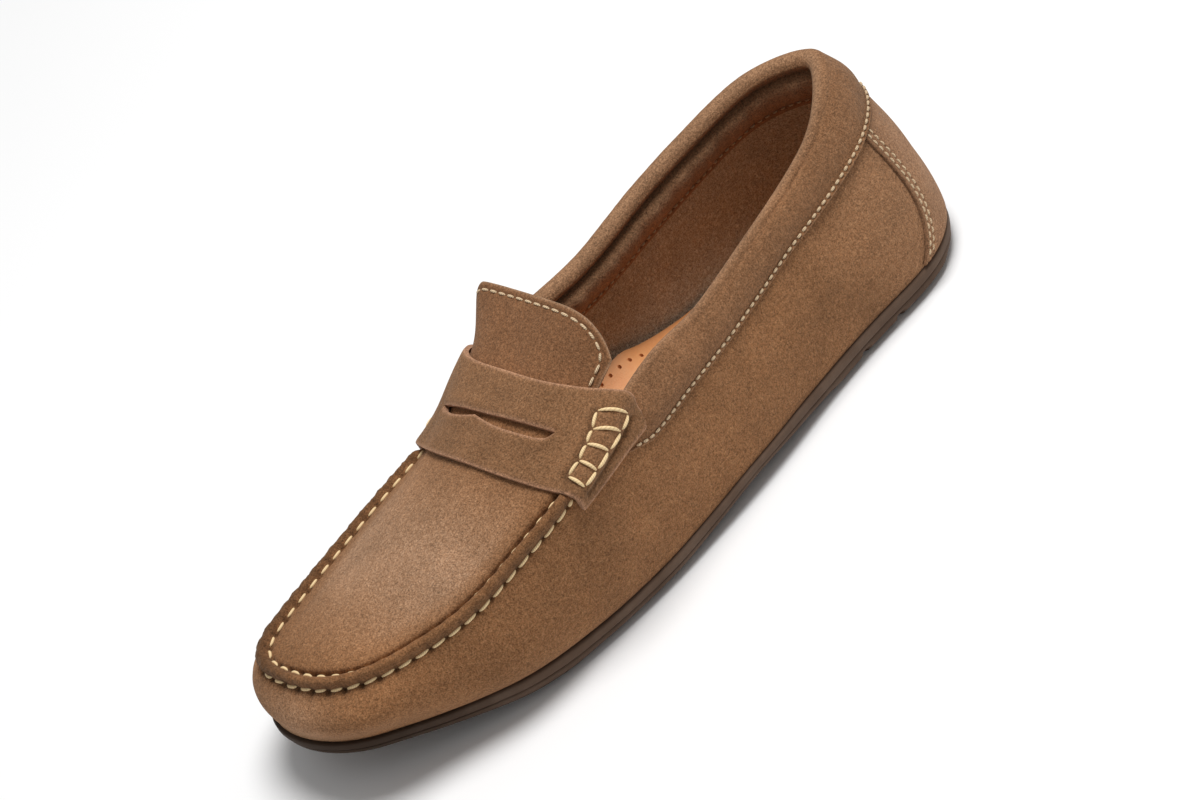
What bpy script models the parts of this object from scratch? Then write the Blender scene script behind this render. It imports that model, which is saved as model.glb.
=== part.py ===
"""Driving penny loafer, one left shoe.

The toe points along +X, the outer side of the foot is +Y, the floor is Z = 0.
Sizes below are in millimetres, the finished meshes are in metres.
"""

import math

import bmesh
import bpy
import numpy as np
from mathutils import Vector
from mathutils.geometry import delaunay_2d_cdt

# Driving dimensions
MM = 0.001
GAP = 0.3
WALL = 2.2
COLLAR_SEAM = 0.70
COLLAR_ROLL = 3.1
COLLAR_FOOT = 3.0
COLLAR_PAD = 1.3
COUNTER_THICK = 1.3
STRAP_THICK = 1.9
STRAP_BUMP = 1.2
STRAP_CLEAR = 0.6
STRAP_BOW_REAR = 12.5
STRAP_BOW_FRONT = 7.2
STRAP_TAB_REAR = 10.6
STRAP_TAB_FRONT = 4.2
STRAP_CORNER = 0.14
STRAP_REAR = 147.0
STRAP_FRONT = 182.0
COLLAR_END = 146.0
TONGUE_FREE = 158.0
TONGUE_THICK = 2.2
TONGUE_WIDE = 0.80
TONGUE_TIP = 138.2
THROAT_MIDDLE = 167.0
THROAT_END = 157.0
THROAT_WIDE = 0.85
INSOLE_THICK = 2.4
DOME_POWER = 1.98
TOE_FULLNESS = 0.52
RIDGE_HIGH = 3.6
RIDGE_HALF = 1.75
TREAD_DEEP = 2.6

# Mesh counts
REAR_COLUMNS = 36
FRONT_COLUMNS = 36
OUTLINE_COLUMNS = 84

# Wall sections round the shoe, from the heel back by the outer side, the toe and the
# inner side. Feather is the line where the upper meets the sole. Crest is the top edge
# behind the strap and the moccasin seam in front of it. Bulge is how far the wall
# swells out between them.
# name, feather x, feather y, crest x, crest y, crest z, bulge
STATIONS = (
    ("heel_back", -0.5, 3.0, 8.0, -1.0, 73.0, 3.4),
    ("heel_corner_outer", 5.5, 22.0, 13.5, 8.8, 72.8, 3.4),
    ("heel_side_outer", 22.0, 34.6, 27.0, 16.2, 71.0, 4.6),
    ("quarter_rear_outer", 50.0, 36.8, 51.0, 23.4, 67.2, 4.3),
    ("quarter_outer", 80.0, 37.8, 80.0, 27.4, 63.6, 4.0),
    ("waist_outer", 112.0, 41.6, 110.0, 31.2, 61.2, 3.2),
    ("strap_rear_outer", 146.0, 43.0, 146.0, 37.0, 61.2, 2.8),
    ("strap_front_outer", 178.0, 42.2, 181.0, 41.2, 51.5, 3.2),
    ("ball_outer", 202.0, 39.2, 202.0, 38.2, 46.3, 4.6),
    ("vamp_outer", 226.0, 33.4, 224.0, 34.6, 42.3, 5.6),
    ("toe_side_outer", 248.8, 20.9, 245.5, 25.2, 39.8, 5.9),
    ("toe_corner_outer", 266.1, 9.6, 261.0, 12.6, 38.4, 8.2),
    ("toe_tip", 275.7, -12.0, 269.5, -9.0, 37.8, 5.6),
    ("toe_corner_inner", 271.6, -30.1, 267.0, -25.6, 38.6, 5.0),
    ("toe_side_inner", 250.4, -43.8, 250.0, -32.8, 40.2, 8.7),
    ("vamp_inner", 222.0, -48.2, 222.0, -34.0, 42.6, 6.0),
    ("ball_inner", 190.0, -46.0, 192.0, -31.6, 47.2, 5.0),
    ("strap_front_inner", 168.0, -40.5, 172.0, -29.2, 51.8, 4.2),
    ("strap_rear_inner", 143.0, -33.0, 144.0, -28.8, 61.8, 3.6),
    ("waist_inner", 108.0, -28.0, 108.0, -27.5, 62.4, 3.2),
    ("quarter_inner", 78.0, -28.8, 78.0, -28.2, 65.0, 3.2),
    ("quarter_rear_inner", 48.0, -30.6, 48.0, -25.3, 68.6, 4.0),
    ("heel_side_inner", 20.0, -26.6, 25.0, -18.8, 72.0, 4.6),
    ("heel_corner_inner", 5.0, -12.4, 13.0, -9.6, 73.0, 3.4),
)

# Side profile of the shoe along its length
# x, feather z, sole bottom z
PROFILE = (
    (-6.0, 10.6, 2.6),
    (4.0, 9.6, 0.6),
    (12.0, 9.2, 0.0),
    (40.0, 9.0, 0.0),
    (78.0, 9.1, 0.0),
    (100.0, 9.8, 1.8),
    (122.0, 10.0, 3.4),
    (146.0, 8.8, 1.4),
    (164.0, 8.1, 0.0),
    (186.0, 8.3, 0.0),
    (204.0, 9.2, 0.0),
    (218.0, 10.6, 1.4),
    (232.0, 12.6, 4.0),
    (246.0, 14.5, 6.8),
    (262.0, 18.2, 10.8),
    (278.0, 20.7, 12.9),
)

# Middle line of apron, strap and tongue
# x, crest z
INSTEP = (
    (120.0, 99.0),
    (132.0, 89.0),
    (140.0, 82.8),
    (150.0, 76.4),
    (160.0, 71.4),
    (175.0, 65.2),
    (190.0, 60.4),
    (205.0, 56.2),
    (220.0, 52.6),
    (235.0, 49.0),
    (250.0, 45.4),
    (262.0, 41.8),
    (269.4, 38.0),
)

# How full the instep is on the inner side: the power of its arch along the shoe
# x, power
INNER_ARCH = (
    (120.0, 6.5),
    (158.0, 6.0),
    (172.0, 3.6),
    (190.0, 1.98),
    (270.0, 1.98),
)

# Tread lines that run along the shoe, outer side first. A line goes through a back, a
# middle and a front point, the forefoot ones end at the toe block.
# back x, back y, middle x, middle y, front x, front y, toe x, toe y
FOREFOOT_TREAD = (
    (137.0, 34.2, 180.0, 35.8, 232.0, 21.4, 241.5, 16.4),
    (139.0, 18.4, 186.0, 20.4, 244.0, 8.6, 257.5, 3.4),
    (143.0, 0.5, 200.0, -1.5, 253.0, -4.0, 266.0, -9.0),
    (153.0, -15.0, 214.0, -24.0, 257.0, -16.0, 264.5, -20.0),
    (165.0, -31.0, 221.0, -41.5, 258.0, -29.0, 261.5, -29.5),
)
HEEL_TREAD = (
    (20.0, 27.0, 55.0, 31.0, 90.0, 31.5, 97.0, 32.0),
    (9.0, 12.0, 52.0, 12.4, 92.0, 12.6, 99.0, 12.8),
    (9.0, -5.0, 52.0, -6.4, 94.0, -6.0, 101.0, -5.8),
    (20.0, -19.0, 56.0, -24.0, 96.0, -21.0, 103.0, -20.0),
)
FOREFOOT_BLOCKS = 5
HEEL_BLOCKS = 3
CHANNEL_ALONG = 0.085
CHANNEL_ACROSS = 0.085
STUB = 0.42

# Section of the sole side from the top lip down to the tread
# outset from feather, drop from the top as a part of the sole height
SOLE_SIDE = (
    (0.4, 0.00),
    (1.2, 0.08),
    (1.2, 0.36),
    (0.4, 0.42),
    (0.3, 0.62),
    (-1.8, 0.84),
    (-3.6, 1.00),
)

# Finishes: name, base colour, roughness
FINISHES = {
    "suede": ((0.235, 0.135, 0.072, 1.0), 0.95),
    "rubber": ((0.065, 0.042, 0.030, 1.0), 0.7),
    "sock": ((0.50, 0.27, 0.12, 1.0), 0.6),
}


def closed_spline(points, knots, where):
    """Cubic spline through a closed row of points.

    Args:
        points: rows of values, one per station.
        knots: parameter of each station, the last interval closes the loop at 1.
        where: parameters between 0 and 1 to sample.
    Returns:
        Rows of values at the asked parameters.
    """
    points = np.asarray(points, float)
    count = len(points)
    ends = np.append(knots, 1.0)
    step = np.diff(ends)
    ring = np.vstack([points, points[:1]])
    matrix = np.zeros((count, count))
    right = np.zeros_like(points)
    for i in range(count):
        before = step[i - 1]
        after = step[i]
        matrix[i, (i - 1) % count] += before
        matrix[i, i] += 2.0 * (before + after)
        matrix[i, (i + 1) % count] += after
        rise = (ring[i + 1] - ring[i]) / after
        fall = (ring[i] - points[i - 1]) / before
        right[i] = 6.0 * (rise - fall)
    bend = np.linalg.solve(matrix, right)
    bend = np.vstack([bend, bend[:1]])
    where = np.mod(np.asarray(where, float), 1.0)
    cell = np.clip(np.searchsorted(ends, where, side="right") - 1, 0, count - 1)
    span = step[cell][:, None]
    a = (ends[cell + 1] - where)[:, None] / span
    b = 1.0 - a
    bow = ((a ** 3 - a) * bend[cell] + (b ** 3 - b) * bend[cell + 1]) * span ** 2 / 6.0
    return a * ring[cell] + b * ring[cell + 1] + bow


def smooth_table(rows, column):
    """Make a smooth function of x from a column of a table that never overshoots.

    Args:
        rows: table rows, x first.
        column: index of the column to follow.
    Returns:
        A function of x.
    """
    table = np.array([[row[0], row[column]] for row in rows], float)
    xs = table[:, 0]
    ys = table[:, 1]
    width = np.diff(xs)
    slope = np.diff(ys) / width
    tangent = np.zeros(len(xs))
    tangent[0] = slope[0]
    tangent[-1] = slope[-1]
    for i in range(1, len(xs) - 1):
        if slope[i - 1] * slope[i] > 0.0:
            first = 2.0 * width[i] + width[i - 1]
            second = width[i] + 2.0 * width[i - 1]
            tangent[i] = (first + second) / (first / slope[i - 1] + second / slope[i])

    def follow(x):
        x = np.clip(np.asarray(x, float), xs[0], xs[-1])
        i = np.clip(np.searchsorted(xs, x, side="right") - 1, 0, len(xs) - 2)
        t = (x - xs[i]) / width[i]
        low = ys[i] * (1.0 + 2.0 * t) * (1.0 - t) ** 2 + ys[i + 1] * t * t * (3.0 - 2.0 * t)
        turn = tangent[i] * t * (1.0 - t) ** 2 - tangent[i + 1] * t * t * (1.0 - t)
        return low + turn * width[i]

    return follow


feather_height = smooth_table(PROFILE, 1)
bottom_height = smooth_table(PROFILE, 2)
instep_height = smooth_table(INSTEP, 1)
inner_arch = smooth_table(INNER_ARCH, 1)


class Last:
    """The shoe's own form: feather line, crest line, wall and apron."""

    def __init__(self):
        table = np.array([row[1:] for row in STATIONS], float)
        ring = np.vstack([table[:, :2], table[:1, :2]])
        length = np.linalg.norm(np.diff(ring, axis=0), axis=1)
        self.knots = np.append(0.0, np.cumsum(length))[:-1] / length.sum()
        self.table = table
        dense = np.linspace(0.0, 1.0, 2401)[:-1]
        crest = self.crest(dense)
        tip = int(np.argmax(crest[:, 0]))
        back = int(np.argmin(crest[:, 0]))
        crest = np.roll(crest, -back, axis=0)
        dense = np.mod(np.roll(dense, -back), 1.0)
        tip = (tip - back) % len(crest)
        self.tip_x = crest[tip, 0]
        self.outer = crest[: tip + 1]
        self.inner = np.vstack([crest[tip:], crest[:1]])[::-1]
        self.outer_u = np.where(dense[: tip + 1] > 0.9, dense[: tip + 1] - 1.0, dense[: tip + 1])
        inner_u = np.append(dense[tip:], dense[0] + 1.0)
        inner_u = np.where(inner_u < 0.1, inner_u + 1.0, inner_u)
        self.inner_u = inner_u[::-1]

    def rows(self, u):
        """Sample every column of the stations at u."""
        return closed_spline(self.table, self.knots, u)

    def feather(self, u):
        """Points of the line where the upper meets the sole."""
        rows = self.rows(u)
        return np.c_[rows[:, 0], rows[:, 1], feather_height(rows[:, 0])]

    def outward(self, u):
        """Level unit vectors that point out of the shoe."""
        step = 0.002
        along = self.rows(np.asarray(u) + step)[:, :2] - self.rows(np.asarray(u) - step)[:, :2]
        along /= np.linalg.norm(along, axis=1)[:, None]
        return np.c_[-along[:, 1], along[:, 0], np.zeros(len(along))]

    def crest(self, u):
        """Points of the top edge and moccasin seam."""
        return self.rows(u)[:, 2:5]

    def wall(self, u, v):
        """Outer face of the wall, v from 0 at the feather to 1 at the crest."""
        u = np.atleast_1d(np.asarray(u, float))
        v = np.broadcast_to(np.asarray(v, float), u.shape)[:, None]
        foot = self.feather(u)
        near_toe = np.clip((foot[:, :1] - 236.0) / 30.0, 0.0, 1.0)
        power = 0.75 + TOE_FULLNESS * near_toe * near_toe * (3.0 - 2.0 * near_toe)
        swell = self.rows(u)[:, 5:6] * np.sin(math.pi * np.clip(v, 0.0, 1.0) ** power)
        return foot * (1.0 - v) + self.crest(u) * v + self.outward(u) * swell

    def u_at(self, x, outer):
        """Parameter of the crest point at a length along one side."""
        line = self.outer if outer else self.inner
        marks = self.outer_u if outer else self.inner_u
        return np.interp(x, line[:, 0], marks)

    def sides(self, x):
        """Crest y and z on the outer and the inner side at a length."""
        out = [np.interp(x, self.outer[:, 0], self.outer[:, k]) for k in (1, 2)]
        inn = [np.interp(x, self.inner[:, 0], self.inner[:, k]) for k in (1, 2)]
        return out[0], out[1], inn[0], inn[1]

    def dome(self, x, y):
        """Height of apron, strap bed and tongue over a plan point."""
        y_out, z_out, y_in, z_in = self.sides(x)
        half = np.maximum((y_out - y_in) / 2.0, 0.4)
        t = np.clip((y - (y_out + y_in) / 2.0) / half, -1.0, 1.0)
        edge = (z_out + z_in) / 2.0 + t * (z_out - z_in) / 2.0
        rise = np.maximum(instep_height(x) - (z_out + z_in) / 2.0, 0.0)
        power = np.where(t < 0.0, inner_arch(x), DOME_POWER)
        return edge + rise * (1.0 - np.abs(t) ** power)

    def across(self, x, t):
        """Plan y at a length, t from 1 at the outer crest to -1 at the inner crest."""
        y_out, _, y_in, _ = self.sides(x)
        return (y_out + y_in) / 2.0 + t * (y_out - y_in) / 2.0


LAST = Last()


def sheet_normals(points, faces):
    """Unit normals at the corners of a sheet."""
    normals = np.zeros_like(points)
    for face in faces:
        corner = points[list(face)]
        if len(face) == 4:
            turn = np.cross(corner[2] - corner[0], corner[3] - corner[1])
        else:
            turn = np.cross(corner[1] - corner[0], corner[2] - corner[0])
        for k in face:
            normals[k] += turn
    size = np.linalg.norm(normals, axis=1)
    return normals / np.maximum(size, 1e-9)[:, None]


def grid_faces(columns, rows, closed=False):
    """Quads of a grid whose corners are listed column by column."""
    faces = []
    for i in range(columns if closed else columns - 1):
        j = (i + 1) % columns
        for k in range(rows - 1):
            faces.append((i * rows + k, j * rows + k, j * rows + k + 1, i * rows + k + 1))
    return faces


def finish(name):
    """Make one sub-part's own material."""
    kind = {"outsole": "rubber", "insole": "sock"}.get(name, "suede")
    colour, rough = FINISHES[kind]
    material = bpy.data.materials.new(name + "_" + kind)
    material.use_nodes = True
    shader = material.node_tree.nodes["Principled BSDF"]
    shader.inputs["Base Color"].default_value = colour
    shader.inputs["Roughness"].default_value = rough
    return material


def add_object(name, points, faces):
    """Put a closed mesh in the scene as one named sub-part.

    Args:
        name: node name.
        points: corners in millimetres.
        faces: corner lists.
    Returns:
        The new object.
    """
    mesh = bpy.data.meshes.new(name)
    mesh.from_pydata([tuple(p) for p in np.asarray(points) * MM], [], [tuple(f) for f in faces])
    work = bmesh.new()
    work.from_mesh(mesh)
    bmesh.ops.recalc_face_normals(work, faces=work.faces[:])
    bmesh.ops.triangulate(work, faces=work.faces[:])
    work.to_mesh(mesh)
    work.free()
    item = bpy.data.objects.new(name, mesh)
    item.data.materials.append(finish(name))
    bpy.context.collection.objects.link(item)
    return item


def shell(name, outer, inner, faces):
    """Close two sheets of the same layout into one hollow-walled body."""
    count = len(outer)
    body = [tuple(f) for f in faces]
    body += [tuple(k + count for k in reversed(f)) for f in faces]
    seen = {}
    for face in faces:
        for a, b in zip(face, face[1:] + face[:1]):
            key = (min(a, b), max(a, b))
            if key in seen:
                seen[key] = None
            else:
                seen[key] = (a, b)
    for edge in seen.values():
        if edge is not None:
            a, b = edge
            body.append((b, a, a + count, b + count))
    return add_object(name, np.vstack([outer, inner]), body)


def throat_line(across):
    """Length at which the apron ends and the tongue begins, under the strap."""
    share = np.asarray(across) / THROAT_WIDE
    return THROAT_MIDDLE + (THROAT_END - THROAT_MIDDLE) * share ** 2


def column_marks():
    """Parameters of the wall columns: behind the strap, then in front of its rear edge."""
    start = LAST.u_at(COLLAR_END, False)
    end = LAST.u_at(COLLAR_END, True) + 1.0
    rear = np.linspace(start, end, REAR_COLUMNS)
    step = 0.0016
    front = np.linspace(end - 1.0 + step, start - step, FRONT_COLUMNS)
    return rear, front


def ridge_lift(marks, off):
    """Height of the moccasin seam's ridge over the skin.

    Args:
        marks: parameters round the shoe.
        off: distances from the crest, below 0 down the wall and above 0 on the apron.
    Returns:
        Heights between 0 and 1 times the ridge's full height.
    """
    turn = np.clip((np.asarray(marks) - 0.50) / 0.06, 0.0, 1.0)
    centre = 1.9 - 2.7 * turn * turn * (3.0 - 2.0 * turn)
    inside = np.clip(1.0 - (np.abs(off - centre) / RIDGE_HALF) ** 2.5, 0.0, 1.0)
    return inside ** 0.6


def upper():
    """Vamp, quarters and apron as one hollow wall with the raised moccasin seam."""
    rear, front = column_marks()
    marks = np.append(rear, front)
    top = np.append(np.full(len(rear), COLLAR_SEAM - 0.006), np.ones(len(front)))
    crest = LAST.crest(front)
    fade = np.clip((crest[:, 0] - STRAP_FRONT - 1.5) / 8.0, 0.0, 1.0)
    ridge = fade * RIDGE_HIGH
    tall = np.linalg.norm(crest - LAST.feather(front), axis=1)
    levels = (0.0, 0.09, 0.2, 0.32, 0.45, 0.58, 0.7, 0.82, 0.925, 0.965, 1.0)
    rows = len(levels)
    wall = np.stack([LAST.wall(marks, level * top) for level in levels], axis=1)
    points = wall.reshape(-1, 3)
    raised = np.zeros((len(marks), rows))
    for k, level in enumerate(levels):
        raised[len(rear):, k] = ridge * ridge_lift(front, (level - 1.0) * tall)
    raised = raised.reshape(-1)
    faces = grid_faces(len(marks), rows, closed=True)
    # The apron runs in from the seam to the throat under the strap.
    share = np.linspace(1.0, -1.0, len(front))
    throat_x = throat_line(share * THROAT_WIDE)
    throat = np.c_[throat_x, LAST.across(throat_x, share * THROAT_WIDE)]
    near = 5
    steps = (0.0, 1.0, 2.0, 3.0, 3.8, 0.14, 0.3, 0.5, 0.74, 1.0)
    index = np.zeros((len(front), len(steps)), int)
    more = []
    more_raised = []
    for i in range(len(front)):
        seam = crest[i, :2]
        run = throat[i] - seam
        reach = np.linalg.norm(run)
        index[i, 0] = (len(rear) + i) * rows + rows - 1
        for k in range(1, len(steps)):
            part = steps[k]
            raise_by = 0.0
            if k < near:
                raise_by = ridge[i] * float(ridge_lift(front[i], steps[k]))
                part = min(steps[k] / reach, 0.03 * steps[k])
            plan = seam + run * part
            height = LAST.dome(plan[0], plan[1])
            index[i, k] = len(points) + len(more)
            more.append((plan[0], plan[1], float(height)))
            more_raised.append(raise_by)
    for i in range(len(front) - 1):
        for k in range(len(steps) - 1):
            faces.append((index[i, k], index[i + 1, k], index[i + 1, k + 1], index[i, k + 1]))
    points = np.vstack([points, np.array(more)])
    raised = np.append(raised, more_raised)
    normals = sheet_normals(points, faces)
    if np.mean(normals[: len(marks) * rows, :2] * (points[: len(marks) * rows, :2] - (140.0, 0.0))) < 0:
        normals = -normals
    outer = points + normals * raised[:, None]
    inner = points - normals * WALL
    # The two rims stay level with the sole and with the collar's foot.
    bottom = np.arange(len(marks)) * rows
    inner[bottom, 2] = points[bottom, 2]
    return shell("upper", outer, inner, faces)


def collar():
    """Padded band folded over the top edge of the quarters."""
    start = LAST.u_at(COLLAR_END, False) + 0.0016
    end = LAST.u_at(COLLAR_END, True) + 1.0 - 0.0016
    marks = np.linspace(start, end, 45)
    out = LAST.outward(marks)
    ring = []
    outside = ((0.70, 0.3), (0.75, 0.8), (0.81, 1.0), (0.87, 0.95), (0.925, 0.7))
    for level, pad in outside:
        ring.append(LAST.wall(marks, level) + out * (pad * COLLAR_PAD))
    centre = LAST.wall(marks, 0.95) + out * (0.5 * COLLAR_PAD - COLLAR_ROLL)
    for angle in (25.0, 60.0, 95.0, 130.0, 165.0):
        turn = math.radians(angle)
        lean = np.array([0.0, 0.0, COLLAR_ROLL * math.sin(turn)])
        ring.append(centre + out * (COLLAR_ROLL * math.cos(turn)) + lean)
    inside = ((0.89, 5.4), (0.83, 4.4), (0.765, 3.6), (0.70, COLLAR_FOOT))
    for level, depth in inside:
        ring.append(LAST.wall(marks, level) - out * depth)
    rows = len(ring)
    points = np.stack(ring, axis=1).reshape(-1, 3)
    faces = []
    for i in range(len(marks) - 1):
        for k in range(rows):
            m = (k + 1) % rows
            faces.append((i * rows + k, (i + 1) * rows + k, (i + 1) * rows + m, i * rows + m))
    faces.append(tuple(range(rows)))
    last = (len(marks) - 1) * rows
    faces.append(tuple(last + k for k in reversed(range(rows))))
    return add_object("collar", points, faces)


def heel_counter():
    """Suede patch round the heel below the collar, wider at its foot."""
    levels = np.linspace(0.02, COLLAR_SEAM - 0.015, 8)
    columns = 19
    share = np.linspace(-1.0, 1.0, columns)
    points = []
    outer_far = LAST.u_at(39.0, True)
    inner_far = LAST.u_at(37.0, False) - 1.0
    middle = (outer_far + inner_far) / 2.0
    half = (outer_far - inner_far) / 2.0
    for s in share:
        for level in levels:
            part = level / COLLAR_SEAM
            reach = half * (0.67 + 0.26 * (1.0 - part) ** 3.5)
            points.append(LAST.wall([middle + s * reach], level)[0])
    points = np.array(points)
    faces = grid_faces(columns, len(levels))
    normals = sheet_normals(points, faces)
    if np.mean(normals[:, 0]) > 0.0:
        normals = -normals
    return shell("heel_counter", points + normals * (GAP + COUNTER_THICK), points + normals * GAP, faces)


def strap_sheet(shares):
    """Bed of the strap: up the outer wall, over the instep, down the inner wall.

    Args:
        shares: place of each column from the rear edge, 0, to the front edge, 1.
    Returns:
        Points column by column, rows in a column, and how much each stands on the seam.
    """
    tab = np.linspace(0.0, 1.0, 5)
    arc = np.linspace(1.0, -1.0, 21)[1:-1]
    points = []
    seam = []
    for share in shares:
        x = STRAP_REAR + (STRAP_FRONT - STRAP_REAR) * share
        bow = STRAP_BOW_REAR + (STRAP_BOW_FRONT - STRAP_BOW_REAR) * share
        run = []
        on_seam = []
        u_out = LAST.u_at(x, True)
        u_in = LAST.u_at(x, False)
        drop = STRAP_TAB_REAR + (STRAP_TAB_FRONT - STRAP_TAB_REAR) * share
        drop *= 1.0 - 0.42 * max(0.0, 1.0 - share / STRAP_CORNER) ** 2
        tall_out = float(LAST.crest([u_out])[0, 2] - LAST.feather([u_out])[0, 2])
        tall_in = float(LAST.crest([u_in])[0, 2] - LAST.feather([u_in])[0, 2])
        for part in tab:
            run.append(LAST.wall([u_out], 1.0 - drop * (1.0 - part) / tall_out)[0])
            on_seam.append(max(0.0, 1.0 - drop * (1.0 - part) / 4.0))
        for t in arc:
            power = 2.2 + (2.8 if t < 0.0 else 0.4) * (1.0 - share)
            ahead = x + bow * (1.0 - abs(t) ** power)
            y = LAST.across(x, t)
            run.append(np.array([ahead, y, float(LAST.dome(ahead, y))]))
            on_seam.append(max(0.0, (abs(t) - 0.78) / 0.22))
        for part in tab[::-1]:
            run.append(LAST.wall([u_in], 1.0 - drop * (1.0 - part) / tall_in)[0])
            on_seam.append(max(0.0, 1.0 - drop * (1.0 - part) / 4.0))
        points.extend(run)
        seam.extend(on_seam)
    return np.array(points), np.array(seam), len(run)


def strap():
    """Saddle strap with its end tabs and its cut slot."""
    shares = (0.0, 0.05, 0.14, 0.3, 0.5, 0.7, 0.86, 1.0)
    points, seam, rows = strap_sheet(shares)
    faces = grid_faces(len(shares), rows)
    normals = sheet_normals(points, faces)
    if np.mean(normals[:, 2]) < 0.0:
        normals = -normals
    clear = STRAP_CLEAR + 0.6 * seam
    top = clear + STRAP_THICK + STRAP_BUMP * seam
    item = shell("strap", points + normals * top[:, None], points + normals * clear[:, None], faces)
    cutter = slot_cutter()
    cut = item.modifiers.new("slot", "BOOLEAN")
    cut.operation = "DIFFERENCE"
    cut.solver = "EXACT"
    cut.object = cutter
    return item


def slot_cutter():
    """Prism of the slot: a bowed rear edge, a waved front edge with two lobes."""
    inner_end = -20.6
    outer_end = 27.6
    cusp = -2.0
    along = np.linspace(inner_end, outer_end, 26)
    rear = []
    front = []
    for y in along:
        if y > cusp:
            s = (y - cusp) / (outer_end - cusp)
            lobe = 2.2 * math.sin(math.pi / 2.0 * min(1.0, s / 0.55)) * (1.0 - s ** 14)
        else:
            s = (cusp - y) / (cusp - inner_end)
            lobe = 1.3 * max(0.0, math.sin(math.pi * min(1.0, s * 1.02)))
        bow = 3.4 * (y / 27.0) ** 2 if y > 0.0 else 1.1 * (y / 20.0) ** 2
        rear.append((173.1 - bow, y))
        front.append((174.3 - bow + lobe, y))
    outline = rear + front[::-1]
    low = [(x, y, 40.0) for x, y in outline]
    high = [(x, y, 90.0) for x, y in outline]
    count = len(outline)
    faces = [(i, (i + 1) % count, (i + 1) % count + count, i + count) for i in range(count)]
    for i in range(len(along) - 1):
        j = count - 1 - i
        faces.append((i, i + 1, j - 1, j))
        faces.append((i + count, j + count, j - 1 + count, i + 1 + count))
    item = add_object("slot_cutter", np.array(low + high), faces)
    item.hide_render = True
    item.display_type = "WIRE"
    return item


def tongue():
    """Suede tab that rises from the throat behind the strap and flattens to its tip."""
    columns = 17
    rows = 12
    points = []
    for t in np.linspace(1.0, -1.0, columns):
        start = throat_line(t * TONGUE_WIDE) - 0.5
        tip = TONGUE_TIP + (5.0 * t ** 7.0 if t > 0.0 else 1.5 * t ** 12.0)
        for s in np.linspace(0.0, 1.0, rows):
            x = start + (tip - start) * s
            free = np.clip((TONGUE_FREE - x) / (TONGUE_FREE - TONGUE_TIP), 0.0, 1.0)
            ease = free * free * (3.0 - 2.0 * free)
            lean = 0.06 * ease * (1.0 - max(0.0, t) * ease)
            lean += 0.10 * math.sin(math.pi * free) * max(0.0, -t) ** 3
            y = LAST.across(x, t * (TONGUE_WIDE + 0.11 * ease) - lean)
            arch = float(LAST.dome(x, y))
            level = float(instep_height(x)) - 0.8 * t * t
            flat = ease * (1.0 - 0.6 * max(0.0, t) ** 1.6)
            points.append((x, y, arch + (level - arch) * flat))
    points = np.array(points)
    faces = grid_faces(columns, rows)
    normals = sheet_normals(points, faces)
    if np.mean(normals[:, 2]) < 0.0:
        normals = -normals
    return shell("tongue", points, points - normals * TONGUE_THICK, faces)


def outline_pairs(inset, count):
    """Matched outline points of the outer and inner side from heel to toe."""
    half = np.linspace(0.0, 0.5, count // 2 + 1)
    dense = np.linspace(0.0, 1.0, 1601)[:-1]
    plan = LAST.rows(dense)[:, :2]
    back = dense[int(np.argmin(plan[:, 0]))]
    tip = dense[int(np.argmax(plan[:, 0]))]
    back = back - 1.0 if back > 0.5 else back
    outer = back + (tip - back) * half * 2.0
    inner = 1.0 + back + (tip - 1.0 - back) * half * 2.0
    return outer, inner


def level_plate(name, inset, low, high):
    """Plate that follows the footbed between two heights over the feather."""
    outer, inner = outline_pairs(inset, OUTLINE_COLUMNS)
    a = LAST.feather(outer)[:, :2] - LAST.outward(outer)[:, :2] * inset
    b = LAST.feather(inner)[:, :2] - LAST.outward(inner)[:, :2] * inset
    lanes = np.linspace(0.0, 1.0, 5)
    points = []
    columns = len(a) - 2
    for i in range(1, len(a) - 1):
        for s in lanes:
            x, y = a[i] * (1.0 - s) + b[i] * s
            points.append((x, y, float(feather_height(x))))
    faces = grid_faces(columns, len(lanes))
    heel = len(points)
    points.append((a[0][0], a[0][1], float(feather_height(a[0][0]))))
    toe = len(points)
    points.append((a[-1][0], a[-1][1], float(feather_height(a[-1][0]))))
    rows = len(lanes)
    for k in range(rows - 1):
        faces.append((heel, k, k + 1))
        faces.append((toe, (columns - 1) * rows + k + 1, (columns - 1) * rows + k))
    points = np.array(points)
    rise = np.array([0.0, 0.0, 1.0])
    return shell(name, points + rise * high, points + rise * low, faces)


def tread_point(line, step, blocks):
    """Plan point on one tread line, counted in blocks from its back end."""
    back = np.array(line[0:2])
    middle = np.array(line[2:4])
    front = np.array(line[4:6])
    toe = np.array(line[6:8])
    if step > blocks:
        return front + (toe - front) * (step - blocks)
    s = step / blocks
    return back * (2 * s - 1) * (s - 1) + middle * 4 * s * (1 - s) + front * s * (2 * s - 1)


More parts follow.
